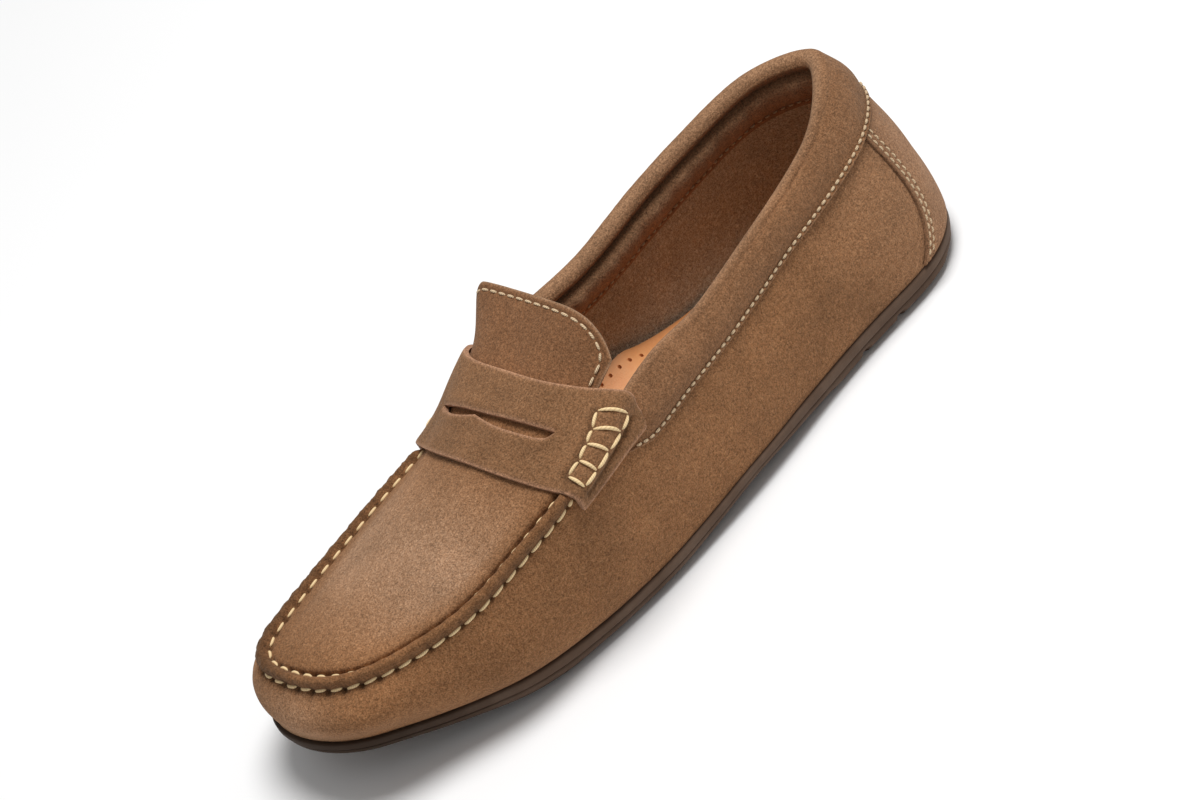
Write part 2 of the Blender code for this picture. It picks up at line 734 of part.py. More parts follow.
def tread_field(lines, blocks, stub_back, toe_block):
    """Grid of a tread field and which of its cells stand up.

    Args:
        lines: table of tread lines.
        blocks: blocks along the shoe.
        stub_back: True where the channels run on behind the field, else ahead of it.
        toe_block: True where a crescent block closes the field.
    Returns:
        Plan grid, and flags that are True for cells at tread level.
    """
    along = [-STUB] if stub_back else []
    kinds = ["stub"] if stub_back else []
    along.append(-CHANNEL_ALONG)
    for k in range(blocks):
        kinds.append("channel")
        along.append(k + CHANNEL_ALONG)
        kinds.append("block")
        along.append(k + 1 - CHANNEL_ALONG)
    kinds.append("channel")
    along.append(blocks + CHANNEL_ALONG)
    if toe_block:
        kinds.append("toe")
        along.append(blocks + 1.0)
        kinds.append("channel")
        along.append(blocks + 1.22)
    elif not stub_back:
        kinds.append("stub")
        along.append(blocks + STUB * 1.6)
    across = [-CHANNEL_ACROSS]
    for m in range(len(lines) - 1):
        across.append(m + CHANNEL_ACROSS)
        across.append(m + 1 - CHANNEL_ACROSS)
    across.append(len(lines) - 1 + CHANNEL_ACROSS)
    grid = np.zeros((len(along), len(across), 2))
    for i, step in enumerate(along):
        track = np.array([tread_point(line, max(step, 0.0), blocks) for line in lines])
        if step < 0.0:
            ahead = np.array([tread_point(line, 0.25, blocks) for line in lines])
            track = track + (track - ahead) * (-step / 0.25)
        for j, place in enumerate(across):
            m = min(max(int(math.floor(place)), 0), len(lines) - 2)
            grid[i, j] = track[m] + (track[m + 1] - track[m]) * (place - m)
    up = np.zeros((len(along) - 1, len(across) - 1), bool)
    for i, kind in enumerate(kinds):
        for j in range(len(across) - 1):
            lane = j % 2 == 1
            edge = j in (0, len(across) - 2)
            if kind == "block":
                up[i, j] = lane
            elif kind == "stub":
                up[i, j] = lane or edge
            elif kind == "toe":
                up[i, j] = not edge
    return grid, up


def outsole():
    """Moulded sole: footbed top, stepped side band, tread fields with blocks."""
    outer, inner = outline_pairs(0.0, OUTLINE_COLUMNS)
    marks = np.append(outer, inner[-2:0:-1])
    base = LAST.feather(marks)
    out = LAST.outward(marks)
    top_z = base[:, 2] - GAP
    count = len(marks)
    points = []
    for outset, drop in SOLE_SIDE:
        plan = base[:, :2] + out[:, :2] * outset
        z = top_z + (bottom_height(plan[:, 0]) - top_z) * drop
        points.extend(np.c_[plan, z])
    faces = []
    for k in range(len(SOLE_SIDE) - 1):
        for i in range(count):
            j = (i + 1) % count
            faces.append((k * count + i, k * count + j, (k + 1) * count + j, (k + 1) * count + i))
    # Footbed top: lanes between matched outline points.
    half = count // 2
    lanes = (0.2, 0.4, 0.6, 0.8)
    lane_at = {}
    for i in range(1, half):
        a = points[i]
        b = points[count - i]
        for s, share in enumerate(lanes):
            x, y = a[:2] * (1.0 - share) + b[:2] * share
            lane_at[i, s] = len(points)
            points.append(np.array([x, y, float(feather_height(x)) - GAP]))
    for i in range(1, half):
        lane_at[i, -1] = i
        lane_at[i, len(lanes)] = count - i
    for i in range(1, half - 1):
        for s in range(-1, len(lanes)):
            faces.append((lane_at[i, s], lane_at[i + 1, s], lane_at[i + 1, s + 1], lane_at[i, s + 1]))
    for s in range(-1, len(lanes)):
        faces.append((0, lane_at[1, s], lane_at[1, s + 1]))
        faces.append((half, lane_at[half - 1, s + 1], lane_at[half - 1, s]))
    # Tread fields: cells at tread level or sunk by the channel depth.
    rim = [(len(SOLE_SIDE) - 1) * count + i for i in range(count)]
    loops = [rim]
    fields = (
        tread_field(FOREFOOT_TREAD, FOREFOOT_BLOCKS, True, True),
        tread_field(HEEL_TREAD, HEEL_BLOCKS, False, False),
    )
    for grid, up in fields:
        loops.append(tread_faces(points, faces, grid, up))
    faces.extend(ring_faces(points, loops))
    return add_object("outsole", np.array(points), faces)


def tread_faces(points, faces, grid, up):
    """Add one tread field and return its edge loop at tread level."""
    rows, lanes = grid.shape[:2]
    high = {}
    low = {}

    def corner(i, j, sunk):
        table = low if sunk else high
        if (i, j) not in table:
            x, y = grid[i, j]
            table[i, j] = len(points)
            rise = TREAD_DEEP if sunk else 0.0
            points.append(np.array([x, y, float(bottom_height(x)) + rise]))
        return table[i, j]

    def stands(i, j):
        if i < 0 or j < 0 or i >= rows - 1 or j >= lanes - 1:
            return True
        return bool(up[i, j])

    for i in range(rows - 1):
        for j in range(lanes - 1):
            sunk = not up[i, j]
            cell = ((i, j), (i + 1, j), (i + 1, j + 1), (i, j + 1))
            faces.append(tuple(corner(a, b, sunk) for a, b in cell))
            if not sunk:
                continue
            sides = (((i, j - 1), 0, 1), ((i + 1, j), 1, 2), ((i, j + 1), 2, 3), ((i - 1, j), 3, 0))
            for (ni, nj), a, b in sides:
                if stands(ni, nj):
                    first = cell[a]
                    second = cell[b]
                    lower = (corner(*first, True), corner(*second, True))
                    upper_edge = (corner(*second, False), corner(*first, False))
                    faces.append(lower + upper_edge)
    loop = [(i, 0) for i in range(rows)]
    loop += [(rows - 1, j) for j in range(1, lanes)]
    loop += [(i, lanes - 1) for i in range(rows - 2, -1, -1)]
    loop += [(0, j) for j in range(lanes - 2, 0, -1)]
    return [corner(i, j, False) for i, j in loop]


def ring_faces(points, loops):
    """Fill the tread level between the sole rim and the fields' edges."""
    order = [k for loop in loops for k in loop]
    flat = [Vector((points[k][0], points[k][1])) for k in order]
    edges = []
    begin = 0
    for loop in loops:
        size = len(loop)
        edges += [(begin + i, begin + (i + 1) % size) for i in range(size)]
        begin += size
    corners, _, cells, _, _, _ = delaunay_2d_cdt(flat, edges, [], 0, 1e-6)
    polygons = [np.array([points[k][:2] for k in loop]) for loop in loops]
    faces = []
    for cell in cells:
        centre = np.mean([[corners[k].x, corners[k].y] for k in cell], axis=0)
        if inside(centre, polygons[0]) and not any(inside(centre, hole) for hole in polygons[1:]):
            faces.append(tuple(order[k] for k in cell))
    return faces


def inside(point, polygon):
    """True where a plan point lies in a closed polygon."""
    x, y = point
    xs = polygon[:, 0]
    ys = polygon[:, 1]
    nx = np.roll(xs, -1)
    ny = np.roll(ys, -1)
    crosses = (ys > y) != (ny > y)
    with np.errstate(divide="ignore", invalid="ignore"):
        at = xs + (y - ys) * (nx - xs) / (ny - ys)
    return bool(np.sum(crosses & (x < at)) % 2)


def settle(items):
    """Centre the shoe over the origin with its lowest point on the floor."""
    low = np.full(3, np.inf)
    high = np.full(3, -np.inf)
    for item in items:
        for vertex in item.data.vertices:
            low = np.minimum(low, vertex.co)
            high = np.maximum(high, vertex.co)
    shift = Vector((-(low[0] + high[0]) / 2.0, -(low[1] + high[1]) / 2.0, -low[2]))
    for item in bpy.data.objects:
        for vertex in item.data.vertices:
            vertex.co += shift
    return shift


def main():
    """Build every sub-part and return how far the shoe was moved to its origin."""
    for item in list(bpy.data.objects):
        bpy.data.objects.remove(item, do_unlink=True)
    items = [
        outsole(),
        upper(),
        collar(),
        heel_counter(),
        strap(),
        tongue(),
        level_plate("insole", WALL + 0.6, 0.05, INSOLE_THICK),
    ]
    shift = settle(items)
    print("shift in millimetres", [round(value / MM, 3) for value in shift])
    return shift


if __name__ == "__main__":
    main()
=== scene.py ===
"""Studio scene of one left suede driving loafer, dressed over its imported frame.

The shoe's own sizes are in millimetres: x runs from the back of the heel to the toe, y to
the outer side and z up from the floor. Every mesh is moved onto the frame, in metres,
when it is made.
"""
import logging
import math
from dataclasses import dataclass
from enum import Enum
from typing import Callable, NamedTuple

import bpy
import numpy as np
from mathutils import Matrix, Vector
from mathutils.bvhtree import BVHTree
from mathutils.kdtree import KDTree


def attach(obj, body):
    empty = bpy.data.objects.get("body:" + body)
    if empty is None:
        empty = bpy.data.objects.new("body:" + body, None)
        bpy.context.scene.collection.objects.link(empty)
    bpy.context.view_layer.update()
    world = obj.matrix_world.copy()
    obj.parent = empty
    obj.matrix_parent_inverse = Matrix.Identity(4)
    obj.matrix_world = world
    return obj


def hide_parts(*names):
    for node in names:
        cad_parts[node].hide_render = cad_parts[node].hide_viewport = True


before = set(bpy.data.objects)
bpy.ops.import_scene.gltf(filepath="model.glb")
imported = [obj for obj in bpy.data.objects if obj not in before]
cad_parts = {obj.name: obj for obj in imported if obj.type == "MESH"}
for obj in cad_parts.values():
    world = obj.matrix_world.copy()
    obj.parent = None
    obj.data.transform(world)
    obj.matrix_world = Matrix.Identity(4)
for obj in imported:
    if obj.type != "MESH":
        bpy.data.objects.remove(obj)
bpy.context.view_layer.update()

LOG = logging.getLogger("loafer")
Array = np.ndarray
Piece = bpy.types.Object
MM = 0.001
TO_FRAME = np.array([-137.334, 2.757, 0.0])


class Side(Enum):
    """The two sides of the shoe."""

    OUTER = 1.0
    INNER = -1.0


class Station(NamedTuple):
    """One place round the shoe: feather line, crest line and swell of the wall."""

    name: str
    feather_x: float
    feather_y: float
    crest_x: float
    crest_y: float
    crest_z: float
    bulge: float


STATIONS = (
    Station("heel_back", -0.5, 3.0, 8.0, -1.0, 73.0, 3.4),
    Station("heel_corner_outer", 5.5, 22.0, 13.5, 8.8, 72.8, 3.4),
    Station("heel_side_outer", 22.0, 34.6, 27.0, 16.2, 71.0, 4.6),
    Station("quarter_rear_outer", 50.0, 36.8, 51.0, 23.4, 67.2, 4.3),
    Station("quarter_outer", 80.0, 37.8, 80.0, 27.4, 63.6, 4.0),
    Station("waist_outer", 112.0, 41.6, 110.0, 31.2, 61.2, 3.2),
    Station("strap_rear_outer", 146.0, 43.0, 146.0, 37.0, 61.2, 2.8),
    Station("strap_front_outer", 178.0, 42.2, 181.0, 41.2, 51.5, 3.2),
    Station("ball_outer", 202.0, 39.2, 202.0, 38.2, 46.3, 4.6),
    Station("vamp_outer", 226.0, 33.4, 224.0, 34.6, 42.3, 5.6),
    Station("toe_side_outer", 248.8, 20.9, 245.5, 25.2, 39.8, 5.9),
    Station("toe_corner_outer", 266.1, 9.6, 261.0, 12.6, 38.4, 8.2),
    Station("toe_tip", 275.7, -12.0, 269.5, -9.0, 37.8, 5.6),
    Station("toe_corner_inner", 271.6, -30.1, 267.0, -25.6, 38.6, 5.0),
    Station("toe_side_inner", 250.4, -43.8, 250.0, -32.8, 40.2, 8.7),
    Station("vamp_inner", 222.0, -48.2, 222.0, -34.0, 42.6, 6.0),
    Station("ball_inner", 190.0, -46.0, 192.0, -31.6, 47.2, 5.0),
    Station("strap_front_inner", 168.0, -40.5, 172.0, -29.2, 51.8, 4.2),
    Station("strap_rear_inner", 143.0, -33.0, 144.0, -28.8, 61.8, 3.6),
    Station("waist_inner", 108.0, -28.0, 108.0, -27.5, 62.4, 3.2),
    Station("quarter_inner", 78.0, -28.8, 78.0, -28.2, 65.0, 3.2),
    Station("quarter_rear_inner", 48.0, -30.6, 48.0, -25.3, 68.6, 4.0),
    Station("heel_side_inner", 20.0, -26.6, 25.0, -18.8, 72.0, 4.6),
    Station("heel_corner_inner", 5.0, -12.4, 13.0, -9.6, 73.0, 3.4),
)

# Height of the feather line along the shoe: x, z
FEATHER = (
    (-6.0, 10.6), (4.0, 9.6), (12.0, 9.2), (40.0, 9.0), (78.0, 9.1), (100.0, 9.8),
    (122.0, 10.0), (146.0, 8.8), (164.0, 8.1), (186.0, 8.3), (204.0, 9.2), (218.0, 10.6),
    (232.0, 12.6), (246.0, 14.5), (262.0, 18.2), (278.0, 20.7),
)
# Height of the sole's underside along the shoe: x, z
BOTTOM = (
    (-6.0, 2.6), (4.0, 0.6), (12.0, 0.0), (78.0, 0.0), (100.0, 1.8), (122.0, 3.4),
    (146.0, 1.4), (164.0, 0.0), (204.0, 0.0), (218.0, 1.4), (232.0, 4.0), (246.0, 6.8),
    (262.0, 10.8), (278.0, 12.9),
)
# Middle line of apron, strap and tongue: x, z
INSTEP = (
    (120.0, 99.0), (132.0, 89.0), (140.0, 82.8), (150.0, 76.4), (160.0, 71.4),
    (175.0, 65.2), (190.0, 60.4), (205.0, 56.2), (220.0, 52.6), (235.0, 49.0),
    (250.0, 45.4), (262.0, 41.8), (269.4, 38.0),
)
# Power of the instep's arch on the inner side, where it is fuller: x, power
INNER_ARCH = ((120.0, 6.5), (158.0, 6.0), (172.0, 3.6), (190.0, 1.98), (270.0, 1.98))


def smooth_table(rows: tuple) -> Callable[[Array], Array]:
    """Make a smooth function of x that never overshoots its table.

    Args:
        rows: pairs of x and value.
    Returns:
        A function of x.
    """
    table = np.array(rows, float)
    xs = table[:, 0]
    ys = table[:, 1]
    width = np.diff(xs)
    slope = np.diff(ys) / width
    tangent = np.zeros(len(xs))
    tangent[0] = slope[0]
    tangent[-1] = slope[-1]
    for i in range(1, len(xs) - 1):
        if slope[i - 1] * slope[i] > 0.0:
            first = 2.0 * width[i] + width[i - 1]
            second = width[i] + 2.0 * width[i - 1]
            tangent[i] = (first + second) / (first / slope[i - 1] + second / slope[i])

    def follow(x: Array) -> Array:
        x = np.clip(np.asarray(x, float), xs[0], xs[-1])
        i = np.clip(np.searchsorted(xs, x, side="right") - 1, 0, len(xs) - 2)
        t = (x - xs[i]) / width[i]
        low = ys[i] * (1.0 + 2.0 * t) * (1.0 - t) ** 2 + ys[i + 1] * t * t * (3.0 - 2.0 * t)
        turn = tangent[i] * t * (1.0 - t) ** 2 - tangent[i + 1] * t * t * (1.0 - t)
        return low + turn * width[i]

    return follow


def ease(low: float, high: float, x: Array) -> Array:
    """Go smoothly from 0 at low to 1 at high."""
    t = np.clip((np.asarray(x, float) - low) / (high - low), 0.0, 1.0)
    return t * t * (3.0 - 2.0 * t)


def ripple(place: Array, wave: float, seed: float) -> Array:
    """Uneven wave along a line, about -1 to 1."""
    turn = 2.0 * math.pi * np.asarray(place, float) / wave
    first = np.sin(turn + seed)
    second = np.sin(turn * 0.618 + 2.3 * seed)
    third = np.sin(turn * 1.73 + 4.1 * seed)
    return 0.5 * first + 0.35 * second + 0.25 * third


def bump(x: Array, middle: float, half: float) -> Array:
    """Soft hump of height 1 with a half width."""
    return np.exp(-(((np.asarray(x, float) - middle) / half) ** 2))


def grid_normals(points: Array) -> Array:
    """Unit normals of a grid of points, columns crossed with rows."""
    along = np.gradient(points, axis=0)
    up = np.gradient(points, axis=1)
    normal = np.cross(along, up)
    return normal / np.maximum(np.linalg.norm(normal, axis=2, keepdims=True), 1e-9)


def upward_normals(points: Array) -> tuple:
    """Unit normals of a grid that look up, and whether they had to be turned."""
    normal = grid_normals(points)
    turned = np.sum(normal[:, :, 2]) < 0.0
    return (-normal if turned else normal), turned


def lengths(points: Array) -> Array:
    """Length along a line of points, from 0 at its first point."""
    return np.append(0.0, np.cumsum(np.linalg.norm(np.diff(points, axis=0), axis=1)))


def far_from(points: Array, place: Array) -> Array:
    """Distance of a grid of points from a place, or from a row or column of the grid."""
    return np.linalg.norm(points - place, axis=2)


def unit(vectors: Array) -> Array:
    """Vectors of length 1."""
    return vectors / np.linalg.norm(vectors, axis=1)[:, None]


feather_height = smooth_table(FEATHER)
bottom_height = smooth_table(BOTTOM)
instep_height = smooth_table(INSTEP)
inner_arch = smooth_table(INNER_ARCH)


class Last:
    """The shoe's own form: feather line, crest line, wall and dome of the instep."""

    dome_power = 1.98
    wall_power = 0.75
    toe_fullness = 0.52
    toe_span = (236.0, 266.0)

    def __init__(self) -> None:
        self.table = np.array([station[1:] for station in STATIONS], float)
        ring = np.vstack([self.table[:, :2], self.table[:1, :2]])
        length = np.linalg.norm(np.diff(ring, axis=0), axis=1)
        self.ends = np.append(0.0, np.cumsum(length)) / length.sum()
        self.bend = self.bends()
        dense = np.linspace(0.0, 1.0, 2401)[:-1]
        crest = self.crest(dense)
        tip = int(np.argmax(crest[:, 0]))
        back = int(np.argmin(crest[:, 0]))
        crest = np.roll(crest, -back, axis=0)
        dense = np.mod(np.roll(dense, -back), 1.0)
        tip = (tip - back) % len(crest)
        self.outer = crest[: tip + 1]
        self.inner = np.vstack([crest[tip:], crest[:1]])[::-1]
        self.outer_u = np.where(dense[: tip + 1] > 0.9, dense[: tip + 1] - 1.0, dense[: tip + 1])
        inner_u = np.append(dense[tip:], dense[0] + 1.0)
        inner_u = np.where(inner_u < 0.1, inner_u + 1.0, inner_u)
        self.inner_u = inner_u[::-1]

    def bends(self) -> Array:
        """Second slopes of the closed cubic line through the stations."""
        count = len(self.table)
        step = np.diff(self.ends)
        ring = np.vstack([self.table, self.table[:1]])
        matrix = np.zeros((count, count))
        right = np.zeros_like(self.table)
        for i in range(count):
            before = step[i - 1]
            after = step[i]
            matrix[i, (i - 1) % count] += before
            matrix[i, i] += 2.0 * (before + after)
            matrix[i, (i + 1) % count] += after
            right[i] = 6.0 * ((ring[i + 1] - ring[i]) / after - (ring[i] - self.table[i - 1]) / before)
        bend = np.linalg.solve(matrix, right)
        return np.vstack([bend, bend[:1]])

    def rows(self, u: Array) -> Array:
        """Every column of the stations at u, which goes from 0 to 1 round the shoe."""
        u = np.mod(np.asarray(u, float), 1.0)
        ring = np.vstack([self.table, self.table[:1]])
        cell = np.clip(np.searchsorted(self.ends, u, side="right") - 1, 0, len(self.table) - 1)
        span = np.diff(self.ends)[cell][:, None]
        a = (self.ends[cell + 1] - u)[:, None] / span
        b = 1.0 - a
        bow = ((a ** 3 - a) * self.bend[cell] + (b ** 3 - b) * self.bend[cell + 1]) * span ** 2 / 6.0
        return a * ring[cell] + b * ring[cell + 1] + bow

    def feather(self, u: Array) -> Array:
        """Points of the line where the upper meets the sole."""
        rows = self.rows(u)
        return np.c_[rows[:, 0], rows[:, 1], feather_height(rows[:, 0])]

    def crest(self, u: Array) -> Array:
        """Points of the top edge and the moccasin seam."""
        return self.rows(u)[:, 2:5]

    def outward(self, u: Array) -> Array:
        """Level unit vectors that point out of the shoe."""
        u = np.asarray(u, float)
        along = self.rows(u + 0.002)[:, :2] - self.rows(u - 0.002)[:, :2]
        along /= np.linalg.norm(along, axis=1)[:, None]
        return np.c_[-along[:, 1], along[:, 0], np.zeros(len(along))]

    def wall(self, u: Array, v: Array) -> Array:
        """Outer face of the wall, v from 0 at the feather to 1 at the crest."""
        u = np.atleast_1d(np.asarray(u, float))
        v = np.broadcast_to(np.asarray(v, float), u.shape)[:, None]
        foot = self.feather(u)
        power = self.wall_power + self.toe_fullness * ease(*self.toe_span, foot[:, :1])
        swell = self.rows(u)[:, 5:6] * np.sin(math.pi * np.clip(v, 0.0, 1.0) ** power)
        return foot * (1.0 - v) + self.crest(u) * v + self.outward(u) * swell

    def tall(self, u: Array) -> Array:
        """Slant height of the wall."""
        return np.linalg.norm(self.crest(u) - self.feather(u), axis=1)

    def u_at(self, x: float, side: Side) -> float:
        """Parameter of the crest point at a length along one side."""
        if side is Side.OUTER:
            return float(np.interp(x, self.outer[:, 0], self.outer_u))
        return float(np.interp(x, self.inner[:, 0], self.inner_u))

    def edges(self, x: Array) -> tuple:
        """Crest y and z on the outer and the inner side at a length."""
        out = [np.interp(x, self.outer[:, 0], self.outer[:, k]) for k in (1, 2)]
        inn = [np.interp(x, self.inner[:, 0], self.inner[:, k]) for k in (1, 2)]
        return out[0], out[1], inn[0], inn[1]

    def dome(self, x: Array, y: Array) -> Array:
        """Height of apron, strap bed and tongue over a plan point."""
        y_out, z_out, y_in, z_in = self.edges(x)
        half = np.maximum((y_out - y_in) / 2.0, 0.4)
        t = np.clip((y - (y_out + y_in) / 2.0) / half, -1.0, 1.0)
        edge = (z_out + z_in) / 2.0 + t * (z_out - z_in) / 2.0
        rise = np.maximum(instep_height(x) - (z_out + z_in) / 2.0, 0.0)
        power = np.where(t < 0.0, inner_arch(x), self.dome_power)
        return edge + rise * (1.0 - np.abs(t) ** power)

    def on_dome(self, plan: Array) -> Array:
        """Points of the dome over plan points."""
        return np.c_[plan, self.dome(plan[:, 0], plan[:, 1])]

    def rear(self, x: float, count: int) -> Array:
        """Parameters round the heel, from a length on the inner side to it on the outer."""
        return np.linspace(self.u_at(x, Side.INNER), self.u_at(x, Side.OUTER) + 1.0, count)

    def across(self, x: Array, t: Array) -> Array:
        """Plan y at a length, t from 1 at the outer crest to -1 at the inner crest."""
        y_out, _, y_in, _ = self.edges(x)
        return (y_out + y_in) / 2.0 + t * (y_out - y_in) / 2.0

    def outline(self, half: int) -> tuple:
        """Matched parameters of the outer and the inner outline from heel to toe."""
        share = np.linspace(0.0, 1.0, half + 1)
        dense = np.linspace(0.0, 1.0, 1601)[:-1]
        plan = self.rows(dense)[:, :2]
        back = dense[int(np.argmin(plan[:, 0]))]
        tip = dense[int(np.argmax(plan[:, 0]))]
        back = back - 1.0 if back > 0.5 else back
        return back + (tip - back) * share, 1.0 + back + (tip - 1.0 - back) * share


LAST = Last()


class Bench:
    """Workbench: pieces start as primitives and are finished with operators."""

    @staticmethod
    def only(piece: Piece) -> None:
        """Make a piece the one selected and active object."""
        bpy.ops.object.select_all(action="DESELECT")
        piece.select_set(True)
        bpy.context.view_layer.objects.active = piece

    @staticmethod
    def primitive(name: str, operator: Callable, **options: object) -> Piece:
        """Add a primitive and name it."""
        bpy.ops.object.select_all(action="DESELECT")
        operator(**options)
        piece = bpy.context.object
        piece.name = name
        piece.data.name = name
        return piece

    @staticmethod
    def sheet(name: str, points: Array, flip: bool = False) -> Piece:
        """Lay a grid primitive over a grid of points.

        Args:
            name: name of the piece.
            points: columns by rows by xyz in the shoe's own sizes.
            flip: True where the grid's faces would look inward.
        Returns:
            The new piece, with its place in its vertices.
        """
        cells = {"x_subdivisions": points.shape[0] - 1, "y_subdivisions": points.shape[1] - 1}
        piece = Bench.primitive(name, bpy.ops.mesh.primitive_grid_add, size=2.0, **cells)
        placed = (points.transpose(1, 0, 2).reshape(-1, 3) + TO_FRAME) * MM
        piece.data.vertices.foreach_set("co", placed.ravel())
        piece.data.update()
        if flip:
            Bench.edit(piece, bpy.ops.mesh.flip_normals)
        return piece

    @staticmethod
    def edit(piece: Piece, operator: Callable, **options: object) -> None:
        """Run an edit operator on all of a piece."""
        Bench.only(piece)
        bpy.ops.object.mode_set(mode="EDIT")
        bpy.ops.mesh.select_all(action="SELECT")
        operator(**options)
        bpy.ops.object.mode_set(mode="OBJECT")

    @staticmethod
    def mark(piece: Piece, **layers: Array) -> None:
        """Store grids of values, or of vectors, on the vertices of a sheet."""
        for name, values in layers.items():
            vector = values.ndim == 3
            layer = piece.data.attributes.new(name, "FLOAT_VECTOR" if vector else "FLOAT", "POINT")
            flat = values.transpose(1, 0, 2) if vector else values.T
            layer.data.foreach_set("vector" if vector else "value", flat.reshape(-1).astype(np.float32))

    @staticmethod
    def join(name: str, pieces: list) -> Piece:
        """Join pieces into the first one."""
        bpy.ops.object.select_all(action="DESELECT")
        for piece in pieces:
            piece.select_set(True)
        bpy.context.view_layer.objects.active = pieces[0]
        if len(pieces) > 1:
            bpy.ops.object.join()
        joined = bpy.context.object
        joined.name = name
        joined.data.name = name
        return joined

    @staticmethod
    def merge(piece: Piece, distance: float = 0.002) -> None:
        """Merge vertices that lie together, by a distance in millimetres."""
        Bench.edit(piece, bpy.ops.mesh.remove_doubles, threshold=distance * MM)

    @staticmethod
    def outward(piece: Piece) -> None:
        """Turn the faces of a closed piece outward."""
        Bench.edit(piece, bpy.ops.mesh.normals_make_consistent, inside=False)

    @staticmethod
    def thicken(piece: Piece, depth: float, outward: bool = False) -> None:
        """Give a sheet a wall, then push its outer face by its relief.

        Args:
            piece: sheet whose faces look outward.
            depth: wall thickness in millimetres.
            outward: True where the sheet is the wall's inner face.
        """
        Bench.only(piece)
        count = len(piece.data.vertices)
        wall = piece.modifiers.new("wall", "SOLIDIFY")
        wall.thickness = depth * MM
        wall.offset = 1.0 if outward else -1.0
        wall.use_quality_normals = True
        bpy.ops.object.modifier_apply(modifier=wall.name)
        layer = piece.data.attributes.get("relief")
        if layer is None:
            return
        total = len(piece.data.vertices)
        push = np.zeros(total * 3, np.float32)
        layer.data.foreach_get("vector", push)
        place = np.zeros(total * 3, np.float32)
        piece.data.vertices.foreach_get("co", place)
        place[: count * 3] += push[: count * 3] * MM
        piece.data.vertices.foreach_set("co", place)
        piece.data.update()
        piece.data.attributes.remove(piece.data.attributes["relief"])

    @staticmethod
    def smooth(piece: Piece, angle: float = 50.0) -> None:
        """Shade a piece smooth up to an angle."""
        Bench.only(piece)
        bpy.ops.object.shade_smooth_by_angle(angle=math.radians(angle))

    @staticmethod
    def report(piece: Piece) -> None:
        """Log the size of a finished piece."""
        triangles = sum(len(face.vertices) - 2 for face in piece.data.polygons)
        LOG.info("%s: %d triangles", piece.name, triangles)


class Skin:
    """Surface of a finished piece, to seat stitches on."""

    def __init__(self, *pieces: Piece) -> None:
        graph = bpy.context.evaluated_depsgraph_get()
        graph.update()
        self.trees = [BVHTree.FromObject(piece, graph) for piece in pieces]

    def seat(self, point: Array, outward: Array, reach: float = 9.0) -> tuple:
        """First hit when a line falls onto the skin.

        Args:
            point: place near the skin in the shoe's own sizes.
            outward: direction away from the skin.
            reach: how far outside the line starts, in millimetres.
        Returns:
            Seat and unit normal in the frame's metres, or the point itself where nothing is hit.
        """
        away = Vector(outward).normalized()
        start = Vector((np.asarray(point) + TO_FRAME) * MM) + away * reach * MM
        best = None
        for tree in self.trees:
            place, normal, _, distance = tree.ray_cast(start, -away, 2.4 * reach * MM)
            if place is not None and (best is None or distance < best[2]):
                best = (place, normal, distance)
        if best is None:
            return Vector((np.asarray(point) + TO_FRAME) * MM), away
        normal = best[1] if best[1].dot(away) > 0.0 else -best[1]
        return best[0], normal


@dataclass(frozen=True)
class Suede:
    """Finish of a suede piece."""

    name: str
    color: tuple
    pale: tuple = (0.400, 0.240, 0.145)
    nap: float = 1.0
    rim: tuple = (0.38, 0.23, 0.135)
    sheen: float = 0.12


@dataclass(frozen=True)
class Rubber:
    """Finish of the moulded sole."""

    name: str
    color: tuple
    dust: tuple
    pebble: float = 0.55


@dataclass(frozen=True)
class Leather:
    """Finish of the sock."""

    name: str
    color: tuple
    worn: tuple


@dataclass(frozen=True)
class Cord:
    """Finish of a thread."""

    name: str
    color: tuple
    # Colour between the plies: painted shade in the grooves of the twist.
    dark: tuple
    plies: float = 5.0
    twist: float = 0.12


UPPER_SUEDE = Suede("suede_upper", (0.252, 0.119, 0.051))
COLLAR_SUEDE = Suede("suede_collar", (0.222, 0.108, 0.050))
# The patch's dark edge colour is partly its dark raw edge and partly painted shade along its front edges.
PATCH_SUEDE = Suede("suede_patch", (0.246, 0.111, 0.047), rim=(0.14, 0.07, 0.035))
STRAP_SUEDE = Suede("suede_strap", (0.220, 0.110, 0.051), rim=(0.46, 0.25, 0.15))
TONGUE_SUEDE = Suede("suede_tongue", (0.210, 0.098, 0.044))
LINING_SUEDE = Suede("suede_lining", (0.350, 0.260, 0.178))
SOLE_RUBBER = Rubber("rubber_sole", (0.116, 0.073, 0.050), (0.22, 0.155, 0.115))
# Sock colour set lighter than the leather's own tan: painted light, as the inside of the shoe gets little
# light.
SOCK_LEATHER = Leather("leather_sock", (0.84, 0.335, 0.108), (0.88, 0.40, 0.15))
SEAM_CORD = Cord("thread_seam", (0.90, 0.68, 0.38), (0.74, 0.52, 0.27), twist=0.04)
MACHINE_CORD = Cord("thread_machine", (0.78, 0.60, 0.39), (0.42, 0.27, 0.14), 3.0)
INSIDE_CORD = Cord("thread_inside", (0.62, 0.45, 0.28), (0.30, 0.19, 0.10), 3.0)


